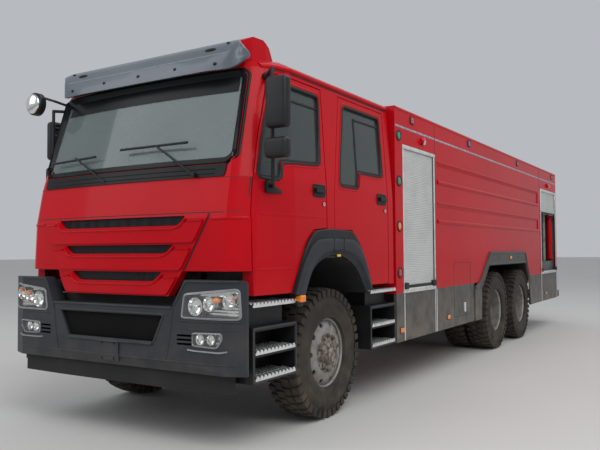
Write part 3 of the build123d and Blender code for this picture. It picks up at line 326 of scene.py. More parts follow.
def on_side(side, *names):
    """Lays flat (x, z) points, counted from the front axle, on one side of nodes."""
    tree = skin_of(*names)

    def place(point, lift):
        start = Vector((point[0] + FRONT_AXLE, side * 2.0, point[1]))
        hit = tree.ray_cast(start, Vector((0, -side, 0)))[0]
        hit = hit or tree.find_nearest(Vector((start.x, side * 1.2, start.z)))[0]
        return Vector((start.x, hit.y + side * lift, start.z))
    return place


def beside(side, y):
    """Lays flat (x, z) points on an upright plane at one side."""
    return lambda point, lift: Vector((point[0] + FRONT_AXLE, side * (y + lift), point[1]))


def across(x, facing=1):
    """Lays flat (y, z) points on an upright plane across the truck."""
    return lambda point, lift: Vector((x + FRONT_AXLE + facing * lift, *point))


def add_rows(bm, rows, closed):
    """Bridges rows of points into a closed skin; open rows get their ends filled."""
    chains = []
    for row in rows:
        corners = [bm.verts.new(point) for point in row]
        pairs = zip(corners, corners[1:] + (corners[:1] if closed else []))
        chains.append((corners, [bm.edges.new(pair) for pair in pairs]))
    for (_, first), (_, second) in zip(chains, chains[1:] + chains[:1]):
        bmesh.ops.bridge_loops(bm, edges=first + second)
    if not closed:
        for end in (0, -1):
            bm.faces.new([corners[end] for corners, _ in chains])


ROUND = ((-0.5, -1), (-0.46, 0.35), (-0.25, 0.85), (0.0, 1.0), (0.25, 0.85), (0.46, 0.35), (0.5, -1))
FLAT = ((-0.5, -1), (-0.5, 0.55), (-0.44, 1.0), (0.44, 1.0), (0.5, 0.55), (0.5, -1))
SUNK = 0.004


def add_line(bm, path, width, rise, place, closed=False, section=ROUND):
    """A raised line of a given section along a flat path that is laid on a surface."""
    count = len(path)
    turns = []
    for index in range(count):
        before = path[index - 1] if index or closed else path[0]
        after = path[(index + 1) % count] if index + 1 < count or closed else path[-1]
        along = (after - before).normalized()
        turns.append(Vector((-along.y, along.x)))
    add_rows(bm, [[place(point + turn * width * share, rise * level if level > 0 else -SUNK)
                   for point, turn in zip(path, turns)] for share, level in section], closed)


def add_run(bm, start, end, step, width, rise, place, section=ROUND):
    """A raised line along a straight run."""
    add_line(bm, traced((start, end), step=step), width, rise, place, section=section)


def absorb(bm, made):
    """Moves a finished mesh into a larger one."""
    mesh = meshed("part", made)
    bm.from_mesh(mesh)
    bpy.data.meshes.remove(mesh)


def cut_up(bm, low, high, pitch, slant):
    """Cuts a flat sheet along parallel lines whose normal has a slant."""
    normal = Vector((cos(slant), sin(slant), 0))
    reaches = [Vector((x, y, 0)).dot(normal) for x in (low[0], high[0]) for y in (low[1], high[1])]
    count = int((max(reaches) - min(reaches)) / pitch)
    for index in range(1, count + 1):
        bmesh.ops.bisect_plane(bm, geom=[*bm.verts, *bm.edges, *bm.faces], dist=1e-6, plane_no=normal,
                               plane_co=normal * (min(reaches) + index * pitch))


def limits(points):
    return (min(p[0] for p in points), min(p[1] for p in points)), (max(p[0] for p in points),
                                                                    max(p[1] for p in points))


def add_sheet(bm, outline, rise, place, depth=0.006, edge=0.004, pitch=0.08):
    """A plate with a rolled edge, cut to a flat outline and laid on a surface."""
    sheet = bmesh.new()
    sheet.faces.new([sheet.verts.new((*point, 0)) for point in outline])
    bmesh.ops.inset_region(sheet, faces=sheet.faces[:], thickness=edge, use_boundary=True)
    low, high = limits(outline)
    cut_up(sheet, low, high, pitch, 0)
    cut_up(sheet, low, high, pitch, pi / 2)
    rim = {vert for vert in sheet.verts if vert.is_boundary}
    border = [item for item in sheet.edges if item.is_boundary]
    for vert in sheet.verts:
        vert.co = place(vert.co.xy, rise - edge if vert in rim else rise)
    wall = bmesh.ops.extrude_edge_only(sheet, edges=border)["geom"]
    away = place(outline[0], 1.0) - place(outline[0], 0.0)
    bmesh.ops.translate(sheet, verts=[item for item in wall if isinstance(item, bmesh.types.BMVert)],
                        vec=-away * (rise + depth))
    bmesh.ops.holes_fill(sheet, edges=[item for item in sheet.edges if item.is_boundary], sides=0)
    absorb(bm, sheet)


def add_lattice(bm, outline, pitch, width, place, lift, slant=0.9):
    """A woven screen of slanting strands within a flat outline."""
    sheet = bmesh.new()
    sheet.faces.new([sheet.verts.new((*point, 0)) for point in outline])
    low, high = limits(outline)
    cut_up(sheet, low, high, pitch, slant)
    cut_up(sheet, low, high, pitch, -slant)
    cells = sheet.faces[:]
    bmesh.ops.inset_individual(sheet, faces=cells, thickness=width)
    bmesh.ops.delete(sheet, geom=cells, context="FACES_ONLY")
    for vert in sheet.verts:
        vert.co = place(vert.co.xy, lift)
    bmesh.ops.solidify(sheet, geom=sheet.faces[:], thickness=0.003)
    absorb(bm, sheet)


# CAD nodes that keep their shape

NODE_FINISHES = {
    "frame_rails": CHASSIS, "front_axle": AXLE, "rear_axles": AXLE, "leaf_springs": AXLE, "engine": AXLE,
    "drive_line": AXLE, "front_bumper": SLATE, "front_lamps": LENS, "cab_steps": BLACK, "step_treads": CHEQUER,
    "front_locker": RED, "tank_section": RED, "pump_room": RED, "roller_shutters": SHUTTER,
    "body_skirts": SKIRT_GREY, "rear_arches": SKIRT_GREY, "roof_deck": DECK, "pump": RIM, "rear_ladder": BRIGHT,
    "rear_step": CHASSIS, "body_lamps": AMBER, "cab_shell": RED, "cab_floor": LINING, "windscreen": SCREEN,
    "grille_panel": RED, "grille_mesh": BLACK, "sun_visor": VISOR, "front_arches": SLATE, "dashboard": LINING,
    "steering_wheel": BLACK, "seats": FABRIC, "wipers_kerb_mirror": BLACK, "tie_rod": AXLE, "manhole_lid": DECK,
    "monitor_turret": RED, "monitor_barrel": RED,
}
for side_name, side in SIDES:
    NODE_FINISHES[f"knuckle_{side_name}"] = AXLE
    NODE_FINISHES[f"mirrors_{side_name}"] = BLACK
    for door in ("front", "rear"):
        NODE_FINISHES[f"{door}_door_{side_name}"] = RED
        NODE_FINISHES[f"{door}_door_glass_{side_name}"] = GLASS
for name, node in NODES.items():
    node.data.materials.clear()
    node.data.materials.append(NODE_FINISHES.get(name, TYRE if name.startswith("tyre") else RIM))


def second_finish(name, material, chosen):
    """Gives the faces of a CAD node that a test picks another finish."""
    mesh = NODES[name].data
    mesh.materials.append(material)
    index = len(mesh.materials) - 1
    for polygon in mesh.polygons:
        if chosen(polygon.center, polygon.normal):
            polygon.material_index = index


for side_name, side in SIDES:
    for door, handle_x in (("front", 0.215), ("rear", -0.990)):
        low, high = at(handle_x - 0.01, 0, 1.88), at(handle_x + 0.16, 0, 1.93)
        second_finish(f"{door}_door_{side_name}", BLACK, lambda middle, normal: (
            low.x < middle.x < high.x and low.z < middle.z < high.z and abs(middle.y) > 1.2355))


# Wheels

AXLE_HEIGHT = 0.55
TYRE_PROFILE = ((-0.116, 0.290), (-0.140, 0.300), (-0.148, 0.330), (-0.1515, 0.352), (-0.149, 0.380),
                (-0.1500, 0.405),
                (-0.1520, 0.412), (-0.147, 0.440), (-0.136, 0.490), (-0.118, 0.520), (-0.090, 0.532), (0.0, 0.536))
LUGS = 40


def add_tyre(bm, x, y):
    """A carcass with raised rings on its walls, and a tread of shoulder lugs and two staggered inner rows."""
    middle = at(x, y, AXLE_HEIGHT)
    profile = [*TYRE_PROFILE, *((-place, radius) for place, radius in reversed(TYRE_PROFILE[:-1]))]
    add_lathe(bm, profile, middle, 80)
    made = []
    for low, high, shift, width in ((-0.147, -0.080, 0.0, 0.58), (0.080, 0.147, 0.0, 0.58),
                                    (-0.068, -0.004, 0.5, 0.66),
                                    (0.004, 0.068, 0.12, 0.66)):
        turn = shift * 2 * pi / LUGS
        reach = width * pi / LUGS * 0.55
        corners = add_box(bm, (middle.x - reach, y + low, middle.z + 0.510),
                          (middle.x + reach, y + high, middle.z + 0.550))
        for corner in corners:
            if abs(corner.co.y - y) > 0.12:
                corner.co.z -= 0.012 if corner.co.z > middle.z + 0.53 else 0.035
        bmesh.ops.rotate(bm, cent=middle, matrix=Matrix.Rotation(turn, 3, "Y"), verts=corners)
        faces = list({face for corner in corners for face in corner.link_faces})
        made += corners + faces + list({edge for corner in corners for edge in corner.link_edges})
    bmesh.ops.spin(bm, geom=made, cent=middle, axis=(0, 1, 0), angle=2 * pi * (LUGS - 1) / LUGS, steps=LUGS - 1,
                   use_duplicate=True)


def add_around(bm, middle, count, make, start=0.0):
    """Repeats what make adds at the top of a circle all around it."""
    for index in range(count):
        before = set(bm.verts)
        make(bm)
        made = [vert for vert in bm.verts if vert not in before]
        bmesh.ops.rotate(bm, cent=middle, matrix=Matrix.Rotation(start + index * 2 * pi / count, 3, "Y"), verts=made)


def cut(solid, cutter):
    """A solid without a cutter's solids; both are bmeshes of closed shells that don't overlap, and are used up."""
    for bm in (solid, cutter):
        bmesh.ops.recalc_face_normals(bm, faces=bm.faces)
    target = placed("uncut", meshed("uncut", solid))
    tool = placed("cutter", meshed("cutter", cutter))
    boolean = target.modifiers.new("holes", "BOOLEAN")
    boolean.operation = "DIFFERENCE"
    boolean.solver = "EXACT"
    boolean.object = tool
    result = bmesh.new()
    result.from_object(target, bpy.context.evaluated_depsgraph_get())
    bpy.data.objects.remove(target)
    bpy.data.objects.remove(tool)
    return result


WHEELS = {
    "front": {
        "track": 1.011, "inner": (),
        "barrel": ((-0.128, 0.306), (-0.110, 0.306), (-0.100, 0.290), (0.100, 0.290), (0.112, 0.306), (0.130, 0.306),
                   (0.130, 0.298), (0.116, 0.292), (0.104, 0.277), (-0.104, 0.277), (-0.128, 0.298)),
        "disc": ((0.086, 0.279), (0.098, 0.268), (0.116, 0.232), (0.124, 0.196), (0.126, 0.110), (0.112, 0.110),
                 (0.110, 0.190), (0.100, 0.226), (0.082, 0.258), (0.070, 0.279)),
        "hole": ((0, 0.236), (0.2, 0.250), 0.019),
        "hub": ((0.120, 0.168), (0.131, 0.164), (0.133, 0.118), (0.138, 0.106), (0.154, 0.098), (0.164, 0.086),
                (0.165, 0.010), (0.100, 0.010), (0.100, 0.168)),
        "nuts": (0.1425, 0.120, 0.150, 0.164), "hub_nuts": (8, 0.066, 0.150, 0.172)},
    "rear": {
        "track": 1.085, "inner": (0.340,),
        "barrel": ((-0.128, 0.306), (-0.110, 0.306), (-0.100, 0.290), (0.100, 0.290), (0.112, 0.306), (0.130, 0.306),
                   (0.130, 0.298), (0.116, 0.290), (0.100, 0.277), (-0.104, 0.277), (-0.128, 0.298)),
        "disc": ((-0.080, 0.279), (-0.105, 0.250), (-0.150, 0.215), (-0.158, 0.190), (-0.160, 0.060), (-0.176, 0.060),
                 (-0.174, 0.195), (-0.166, 0.222), (-0.118, 0.262), (-0.095, 0.279)),
        "hole": ((-0.22, 0.232), (-0.04, 0.232), 0.018),
        "hub": ((-0.160, 0.120), (-0.020, 0.112), (0.030, 0.104), (0.034, 0.092), (0.046, 0.060), (0.046, 0.010),
                (-0.170, 0.010), (-0.170, 0.120)),
        "nuts": (0.158, -0.160, -0.130, -0.108), "hub_nuts": (10, 0.086, 0.028, 0.042)},
}


def wheel_metal(name, x, side, kind):
    """A rim with its hand holes (two rims back to back at the rear), and a hub with ten nuts on studs."""
    middle = at(x, side * kind["track"], AXLE_HEIGHT)

    def out(y, z=0.0):
        return middle + Vector((0, side * y, z))

    def lathe(bm, profile, centre, steps=96):
        add_lathe(bm, [(side * y, radius) for y, radius in profile], centre, steps)

    disc, holes = bmesh.new(), bmesh.new()
    lathe(disc, kind["disc"], middle)
    start, end, radius = kind["hole"]
    add_around(holes, middle, 10, lambda target: bmesh.ops.scale(
        target, verts=add_rod(target, out(*start), out(*end), radius, 20), vec=(1.25, 1, 1),
        space=Matrix.Translation(-middle)), start=0.3)
    bm = bmesh.new()
    for centre in (middle, *(out(-gap) for gap in kind["inner"])):
        lathe(bm, kind["barrel"], centre)
    absorb(bm, cut(disc, holes))
    piece(f"wheel_rim_{name}", bm, f"wheel_{name}", RIM, [f"rim_{name}"])
    bm = bmesh.new()
    lathe(bm, kind["hub"], middle, 64)
    height_of_nuts, foot, head, tip = kind["nuts"]
    add_around(bm, middle, 10, lambda target: (
        add_rod(target, out(foot, height_of_nuts), out(head, height_of_nuts), 0.020, 6),
        add_rod(target, out(head, height_of_nuts), out(tip, height_of_nuts), 0.011, 12)))
    count, reach, low, high = kind["hub_nuts"]
    add_around(bm, middle, count, lambda target: add_rod(target, out(low, reach), out(high, reach), 0.010, 6))
    piece(f"wheel_hub_{name}", bm, f"wheel_{name}", HUB)


for side_name, side in SIDES:
    for place, x in (("front", 0.0), ("middle", -4.78), ("rear", -6.13)):
        name = f"{place}_{side_name}"
        bm = bmesh.new()
        for y in ((1.011,) if place == "front" else (1.085, 0.745)):
            add_tyre(bm, x, side * y)
        piece(f"road_tyre_{name}", bm, f"wheel_{name}", TYRE, [f"tyre_{name}"])
        wheel_metal(name, x, side, WHEELS["front" if place == "front" else "rear"])


# Windscreen, cowl and seams of the cab's front

def new_piece(name, body, material, make, replaced=(), smooth=SHARP_ANGLE):
    """A piece from a function that fills its bmesh."""
    bm = bmesh.new()
    make(bm)
    return piece(name, bm, body, material, replaced, smooth)


SCREEN_EDGE = both_halves(((0.972, 2.058), (1.047, 2.120), (1.012, 2.760), (0.975, 2.792)))


def screen_border(bm):
    glass = on_front("windscreen")
    add_line(bm, traced(grown(SCREEN_EDGE, -0.024), 0.11, 0.06, True), 0.052, 0.002, glass, True, FLAT)
    add_line(bm, traced(grown(SCREEN_EDGE, -0.007), 0.02, 0.05, True), 0.014, 0.026, glass, True)
    add_line(bm, traced(grown(SCREEN_EDGE, 0.012), 0.02, 0.05, True), 0.022, 0.005, on_front("cab_shell"), True)
    # The dark band across the top of the windscreen: partly a tinted band, partly the sun visor's shadow painted onto
    # the glass.
    add_sheet(bm, traced(both_halves(((0.99, 2.625), (0.985, 2.785)))), 0.003, glass, edge=0.002)


def cowl(bm):
    skin = on_front("cab_shell")
    add_sheet(bm, traced(both_halves(((0.985, 1.962), (0.992, 2.054))), 0.02, 0.1, True), 0.010, skin)
    for z in (1.985, 2.020):
        add_run(bm, (-0.9, z), (0.9, z), 0.1, 0.010, 0.014, on_front("cab_shell"))


def front_seams(bm):
    skin = on_front("cab_shell")
    for side in (1, -1):
        for line, width in ((((0.566, 1.085), (0.696, 1.286), (0.893, 1.668), (0.893, 1.700)), 0.012),
                            (((1.205, 1.700), (0.893, 1.700)), 0.006), (((0.995, 1.956), (1.200, 1.958)), 0.006),
                            (((1.150, 1.955), (1.152, 1.815), (1.190, 1.800)), 0.007)):
            add_line(bm, traced([(side * y, z) for y, z in line], step=0.04), width, 0.0015, skin, section=FLAT)
    add_run(bm, (-0.893, 1.7005), (0.893, 1.7005), 0.08, 0.006, 0.0015, skin, section=FLAT)


def front_pressings(bm):
    """The corner panels' raised top edges and their raised outer edges."""
    skin = on_front("cab_shell")
    for side in (1, -1):
        add_line(bm, traced([(side * y, 1.655) for y in (0.925, 1.165)], step=0.03), 0.022, 0.008, skin)
        add_line(bm, traced([(side * 1.165, z) for z in (1.655, 1.300)], step=0.05), 0.014, 0.004, skin)


new_piece("screen_border", "cab", TINT, screen_border)
new_piece("cowl_strip", "cab", TINT, cowl)
new_piece("front_seams", "cab", RUBBER, front_seams)
new_piece("front_pressings", "cab", RED, front_pressings)


# Grille

SLOTS = ((1.610, 1.680, 0.640, 0.690), (1.405, 1.470, 0.530, 0.587), (1.197, 1.267, 0.425, 0.488))
PANEL_SIDE = ((0.560, 1.090), (0.690, 1.290), (0.886, 1.670))


def panel_half(z):
    """Half the grille panel's width at a height."""
    for (low_y, low_z), (high_y, high_z) in zip(PANEL_SIDE, PANEL_SIDE[1:]):
        if z <= high_z:
            return low_y + (high_y - low_y) * (z - low_z) / (high_z - low_z)
    return PANEL_SIDE[-1][0]


def louvres(bm):
    """The stepped blades under the slots, and the slots' rolled rims."""
    skin = on_front("grille_panel")
    feet = [SLOTS[1][1] + 0.014, SLOTS[2][1] + 0.014, 1.102]
    for (foot, head, low_half, high_half), end in zip(SLOTS, feet):
        step = foot + 0.032
        half = [(panel_half(end) - 0.014, end), (panel_half(step) - 0.012, step), (high_half + 0.030, step),
                (low_half + 0.004, foot - 0.020)]
        add_sheet(bm, traced(both_halves(half), 0.030, 0.08, True), 0.017, skin, edge=0.009)
        ledge = [(high_half + 0.012, foot + 0.050), (low_half + 0.030, foot - 0.004),
                 (low_half - 0.040, foot - 0.026)]
        add_line(bm, traced(both_halves(ledge), 0.05, 0.06), 0.020, 0.026, skin)
        for side in (1, -1):
            add_line(bm, traced([(side * (high_half + 0.040), step), (side * (panel_half(step) - 0.020), step)],
                                step=0.05),
                     0.018, 0.026, skin)
            corner, along = Vector((side * low_half, foot)), Vector((side * (low_half - 0.055), foot))
            up = corner.lerp(Vector((side * high_half, head)), 0.78)
            turn = [along * (1 - s) ** 2 + corner * 2 * s * (1 - s) + up * s ** 2 for s in (0, 0.2, 0.4, 0.6, 0.8, 1)]
            beyond = [corner + Vector((side * 0.012, 0.0)), corner + Vector((side * -0.010, -0.010))]
            flat = across(skin((side * (low_half + 0.020), foot - 0.014), 0).x - FRONT_AXLE - 0.004)
            add_sheet(bm, [*beyond, *turn], 0.0, flat, edge=0.001, depth=0.03)


def grille_screen(bm, strands):
    """Woven screens inside the slots, or the dark sheets behind them, which are painted shade for the hollow behind
    the grille.
    """
    panel = on_front("grille_panel")
    for foot, head, low_half, high_half in SLOTS:
        def inside(point, lift, foot=foot, head=head):
            return Vector(((panel((point[0], foot - 0.012), 0).x + panel((point[0], head + 0.008), 0).x) / 2 + lift,
                           *point))
        outline = both_halves(((low_half + 0.004, foot - 0.006), (high_half + 0.004, head + 0.006)))
        if strands:
            add_lattice(bm, traced(outline), 0.021, 0.0028, inside, -0.020)
        else:
            add_sheet(bm, traced(outline), -0.034, inside, depth=0.040, edge=0.001)


new_piece("grille_louvres", "cab", RED, louvres)
new_piece("grille_screen", "cab", SLATE, lambda bm: grille_screen(bm, True), ["grille_mesh"])
# The sheets behind the slots are painted shade.
new_piece("grille_shade_sheets", "cab", SHADE_AND_LINER, lambda bm: grille_screen(bm, False))


# Bumper and its lamps

HEADLAMP = ((0.737, 0.950), (1.205, 0.950), (1.195, 1.150), (0.762, 1.110))
FOG_LAMP = ((0.835, 0.755), (1.040, 0.748), (1.080, 0.800), (1.080, 0.845), (0.835, 0.838))


def mirrored_points(points, side):
    return [(side * y, z) for y, z in points]


def add_bowl(bm, middle, radius, depth):
    """A reflector that opens forward, with its bulb's cap."""
    corners = [bm.verts.new(Vector(middle) + Vector((x * depth, 0, r * radius)))
               for x, r in ((0.0, 0.12), (0.08, 0.45), (0.35, 0.78), (1.0, 1.0), (1.0, 1.06),
                            (-0.1, 1.0), (-0.1, 0.12))]
    edges = [bm.edges.new(pair) for pair in zip(corners, corners[1:] + corners[:1])]
    bmesh.ops.spin(bm, geom=corners + edges, cent=middle, axis=(1, 0, 0), angle=2 * pi, steps=32, use_merge=True)
    add_ball(bm, Vector(middle) + Vector((depth * 0.7, 0, 0)), radius * 0.26)


def reflectors(bm):
    """Chromed bowls behind the lenses, on a stepped chrome plate."""
    for side in (1, -1):
        for y, z, radius, depth, x in ((0.855, 1.028, 0.062, 0.050, 1.330), (0.975, 1.048, 0.050, 0.040, 1.335),
                                       (1.125, 1.070, 0.052, 0.035, 1.305), (0.895, 0.797, 0.036, 0.030, 1.345),
                                       (0.985, 0.799, 0.034, 0.030, 1.335)):
            add_bowl(bm, at(x, side * y, z), radius, depth)
        for outline, back in ((HEADLAMP, 1.296), (FOG_LAMP, 1.300)):
            add_sheet(bm, traced(mirrored_points(grown(outline, -0.006), side)), 0.004, across(back), edge=0.002)
        for index in range(7):
            z = 0.966 + index * 0.021
            add_run(bm, (side * 0.765, z), (side * 1.185, z), 0.2, 0.012, 0.030 - index * 0.002, across(1.296))


def bulb_caps(bm):
    for side in (1, -1):
        add_ball(bm, at(1.345, side * 1.020, 1.075), 0.030, (1.0, 1.1, 0.8))
        add_ball(bm, at(1.318, side * 1.160, 1.090), 0.020, (1, 1, 0.8))


def lamp_bezels(bm):
    skin = on_front("front_bumper", "front_lamps")
    for side in (1, -1):
        add_line(bm, traced(mirrored_points(grown(HEADLAMP, 0.004), side), 0.030, 0.05, True), 0.016, 0.007, skin,
                 True)
        add_line(bm, traced(mirrored_points(grown(FOG_LAMP, 0.003), side), 0.020, 0.05, True), 0.011, 0.006, skin,
                 True)
        add_line(bm, traced([(side * 0.79, 0.722), (side * 0.86, 0.716), (side * 1.06, 0.714), (side * 1.12, 0.724)],
                            0.03, 0.03),
                 0.014, 0.010, skin)


def bumper_trim(bm):
    """The rolled lips and creases of the bumper."""
    skin = on_front("front_bumper")
    add_run(bm, (-0.640, 1.010), (0.640, 1.010), 0.06, 0.020, 0.009, skin)
    add_run(bm, (-0.610, 0.966), (0.610, 0.966), 0.06, 0.010, 0.004, skin)
    add_run(bm, (-0.455, 0.742), (0.455, 0.742), 0.06, 0.026, 0.014, skin)
    add_run(bm, (-1.19, 0.630), (1.19, 0.630), 0.06, 0.012, 0.005, skin)
    add_line(bm, traced(grown(both_halves(((0.457, 0.760), (0.550, 0.950))), 0.012), 0.03, 0.06, True), 0.020, 0.008,
             skin, True)
    for side in (1, -1):
        block = [(0.662, 1.030), (0.768, 1.204), (1.200, 1.204)]
        add_line(bm, traced(mirrored_points(block, side), 0.03, 0.04), 0.020, 0.008, skin)
        add_line(bm, traced(mirrored_points([(0.655, 1.020), (0.622, 0.800), (0.590, 0.640)], side), 0.05, 0.05),
                 0.014, 0.006,
                 skin)
        add_line(bm, traced(mirrored_points([(0.712, 0.925), (1.205, 0.925)], side), step=0.05), 0.012, 0.005, skin)
        add_line(bm, traced(mirrored_points([(0.80, 0.868), (1.19, 0.868)], side), step=0.05), 0.010, 0.004, skin)


def intake_screen(bm):
    outline = both_halves(((0.457, 0.760), (0.550, 0.950)))
    add_lattice(bm, traced(grown(outline, 0.002)), 0.026, 0.003, across(1.376), 0.0)


def front_shadows(bm):
    """Dark sheets behind the bumper's gaps, and the plate bracket's square sockets: painted shade in the gaps and
    sockets.
    """
    add_box(bm, at(1.222, -0.93, 0.62), at(1.236, 0.93, 1.080))
    add_box(bm, at(1.340, -0.545, 0.762), at(1.371, 0.545, 0.948))
    for side in (1, -1):
        add_box(bm, at(1.205, side * 0.70, 1.084), at(1.218, side * 0.93, 1.190))
    for y in (-0.065, 0.065):
        for z in (0.605, 0.725):
            add_box(bm, at(1.397, y - 0.012, z - 0.012), at(1.4015, y + 0.012, z + 0.012))
    rounded(bm, 0.0015)


new_piece("lamp_reflectors", "chassis", CHROME, reflectors)
new_piece("lamp_bulb_caps", "chassis", AMBER, bulb_caps)
new_piece("lamp_bezels", "chassis", BEZEL, lamp_bezels)
new_piece("bumper_trim", "chassis", SLATE, bumper_trim)
new_piece("intake_screen", "chassis", BLACK, intake_screen)
new_piece("front_shadows", "chassis", SHADE_AND_LINER, front_shadows)


# The bumper's lowest faces, below 0.555 m, take the near-black finish: painted shade under the bumper.
second_finish("front_bumper", SHADE_AND_LINER, lambda middle, normal: middle.z < 0.555)
second_finish("pump_room", LINING, lambda middle, normal: (
    -8.905 < middle.x - FRONT_AXLE < -7.545 and abs(middle.y) < 1.205 and 0.995 < middle.z < 2.55))


# Side windows

FRONT_WINDOW = ((1.065, 1.955), (0.985, 2.258), (0.848, 2.655), (0.815, 2.700), (0.205, 2.700), (0.245, 2.125),
                (0.795, 2.092), (0.812, 1.955))
REAR_WINDOW = ((-0.080, 1.980), (-0.230, 2.700), (-0.960, 2.700), (-0.960, 2.130), (-0.470, 2.130), (-0.430, 1.980))
WINDOW_BARS = {"front": (((0.875, 2.595), (0.212, 2.595)),),
               "rear": (((-0.445, 2.110), (-0.448, 2.615)), ((-0.445, 2.615), (-0.955, 2.615)))}

for side_name, side in SIDES:
    for door, window in (("front", FRONT_WINDOW), ("rear", REAR_WINDOW)):
        panel = on_side(side, f"{door}_door_{side_name}")
        glass = on_side(side, f"{door}_door_glass_{side_name}")
        bm = bmesh.new()
        add_line(bm, traced(grown(window, 0.004), 0.050, 0.07, True), 0.024, 0.009, panel, True)
        add_line(bm, traced(grown(window, -0.012), 0.045, 0.07, True), 0.022, 0.004, glass, True, FLAT)
        for bar in WINDOW_BARS[door]:
            add_line(bm, traced(bar, step=0.1), 0.024, 0.010, glass)
        piece(f"{door}_gasket_{side_name}", bm, f"{door}_door_{side_name}", RUBBER)
        bm = bmesh.new()
        add_line(bm, traced(grown(window, 0.026), 0.06, 0.07, True), 0.018, 0.005, panel, True)
        piece(f"{door}_pressing_{side_name}", bm, f"{door}_door_{side_name}", RED)


# Mirrors, visor and drip rails

MIRROR_MASTS = {1: (1.050, 1.300, 0), -1: (0.925, 1.262, 90)}


def add_soft_box(bm, low, high, width, segments=4, place=None):
    """A box with well-rounded edges, moved by a matrix."""
    made = bmesh.new()
    add_box(made, low, high)
    bevel(made, made.edges[:], width, segments)
    if place:
        bmesh.ops.transform(made, matrix=place, verts=made.verts)
    absorb(bm, made)


def add_twins(bm, *rows):
    """Soft boxes at both sides of the truck, from two corners, a rounding and its segments."""
    for side in (1, -1):
        for x0, y0, z0, x1, y1, z1, width, segments in rows:
            add_soft_box(bm, at(x0, side * y0, z0), at(x1, side * y1, z1), width, segments)


for side_name, side in SIDES:
    x, y, turn = MIRROR_MASTS[side]
    stand = Matrix.Diagonal((1, side, 1, 1)) @ Matrix.Translation(at(x, y, 0)) @ Matrix.Rotation(radians(turn), 4,
                                                                                                 "Z")
    bm = bmesh.new()
    add_soft_box(bm, (0.022, 0.0, 2.285), (0.112, 0.185, 2.652), 0.034, 5, stand)
    add_soft_box(bm, (0.025, -0.008, 2.072), (0.114, 0.185, 2.218), 0.032, 5, stand)
    for z in (2.110, 2.180, 2.400, 2.560):
        add_soft_box(bm, (-0.004, 0.018, z), (0.060, 0.062, z + 0.030), 0.005, 2, stand)
    add_tube(bm, [at(x - 0.130, side * 1.205, 1.892), at(x, side * y, 1.905), at(x, side * y, 2.738),
                  at(x - 0.170, side * 1.135, 2.742)], 0.0145, 16)
    add_prism(bm, [at(a, side * 1.188, z) for a, z in ((1.012, 1.845), (1.008, 1.935), (0.950, 1.938), (0.905, 1.900),
                                                       (0.812, 1.868), (0.815, 1.845))], (0, side * 0.036, 0))
    add_rod(bm, at(x - 0.185, side * 1.105, 2.742), at(x - 0.150, side * 1.160, 2.742), 0.028)
    rounded(bm, 0.003)
    piece(f"mirror_heads_{side_name}", bm, f"front_door_{side_name}", BLACK,
          [f"mirrors_{side_name}"])
    bm = bmesh.new()
    for low, high in (((0.016, 0.022, 2.310), (0.026, 0.163, 2.627)), ((0.019, 0.016, 2.096), (0.029, 0.161, 2.194))):
        add_soft_box(bm, low, high, 0.004, 2, stand)
    piece(f"mirror_glass_{side_name}", bm, f"front_door_{side_name}", CHROME)


def kerb_mirror_shell(bm):
    add_ball(bm, at(1.172, -1.210, 2.755), 0.098, (0.42, 1, 1))


def kerb_mirror_glass(bm):
    add_ball(bm, at(1.192, -1.210, 2.752), 0.088, (0.35, 1, 1))


def visor_fittings(bm):
    """The latches and lamp brackets on the sun visor."""
    visor = on_front("sun_visor")
    for y, z, wide in ((0.72, 2.965, 0.055), (-0.72, 2.965, 0.055), (0.80, 2.835, 0.016), (-0.80, 2.835, 0.016),
                       (0.87, 3.000, 0.018), (-0.87, 3.000, 0.018), (0.0, 2.850, 0.016), (0.40, 2.850, 0.014),
                       (-0.40, 2.850, 0.014)):
        add_ball(bm, visor((y, z), -0.002), 1.0, (0.014, wide, 0.013))


def visor_shell(bm):
    """The visor's curved sheet with its rounded ends."""
    half = max(abs(corner[1]) for corner in NODES["sun_visor"].bound_box) - 0.004
    outline = both_halves(((half - 0.075, 2.788), (half, 2.870), (half, 2.940), (half - 0.060, 3.026)))
    add_sheet(bm, traced(outline, 0.05, 0.05, True), 0.0, on_front("sun_visor"), depth=0.016, edge=0.006, pitch=0.04)


def visor_line(bm):
    visor = on_front("sun_visor")
    add_run(bm, (-0.97, 2.915), (0.97, 2.915), 0.06, 0.007, 0.0025, visor)


def drip_rails(bm):
    for side in (1, -1):
        add_run(bm, (-1.160, 2.838), (0.880, 2.838), 0.08, 0.046, 0.022, on_side(side, "cab_shell"))


def drip_rail_shade(bm):
    # A dark strip just under each drip rail: painted shade below the rail.
    for side in (1, -1):
        skin = on_side(side, "cab_shell", f"front_door_{'left' if side > 0 else 'right'}")
        add_run(bm, (-1.160, 2.806), (0.860, 2.806), 0.08, 0.010, 0.002, skin, section=FLAT)


new_piece("kerb_mirror_shell", "cab", BLACK, kerb_mirror_shell)
new_piece("kerb_mirror_glass", "cab", CHROME, kerb_mirror_glass)
new_piece("visor_shell", "cab", VISOR, visor_shell, ["sun_visor"], smooth=50)
new_piece("visor_fittings", "cab", BLACK, visor_fittings)
new_piece("visor_line", "cab", BEZEL, visor_line)
new_piece("drip_rails", "cab", RED, drip_rails)
new_piece("drip_rail_shade", "cab", RUBBER, drip_rail_shade)


# Wheel arches

ARCH_OUTER = ((0.700, 1.090), (0.590, 1.310), (0.492, 1.479), (0.380, 1.580), (0.144, 1.600), (-0.290, 1.590),
              (-0.426, 1.462), (-0.513, 1.311), (-0.600, 1.090))
ARCH_INNER = ((0.540, 1.040), (0.437, 1.227), (0.316, 1.320), (0.104, 1.386), (-0.121, 1.376), (-0.360, 1.280),
              (-0.500, 1.126), (-0.560, 1.040))
REAR_ARCH_OUTER = ((-3.730, 0.490), (-3.730, 0.930), (-3.980, 1.000), (-4.440, 1.390), (-6.400, 1.390),
                   (-6.670, 0.970),
                   (-6.765, 0.490))
REAR_ARCH_INNER = ((-3.990, 0.490), (-4.030, 0.900), (-4.370, 1.200), (-6.430, 1.200), (-6.630, 0.870),
                   (-6.735, 0.490))


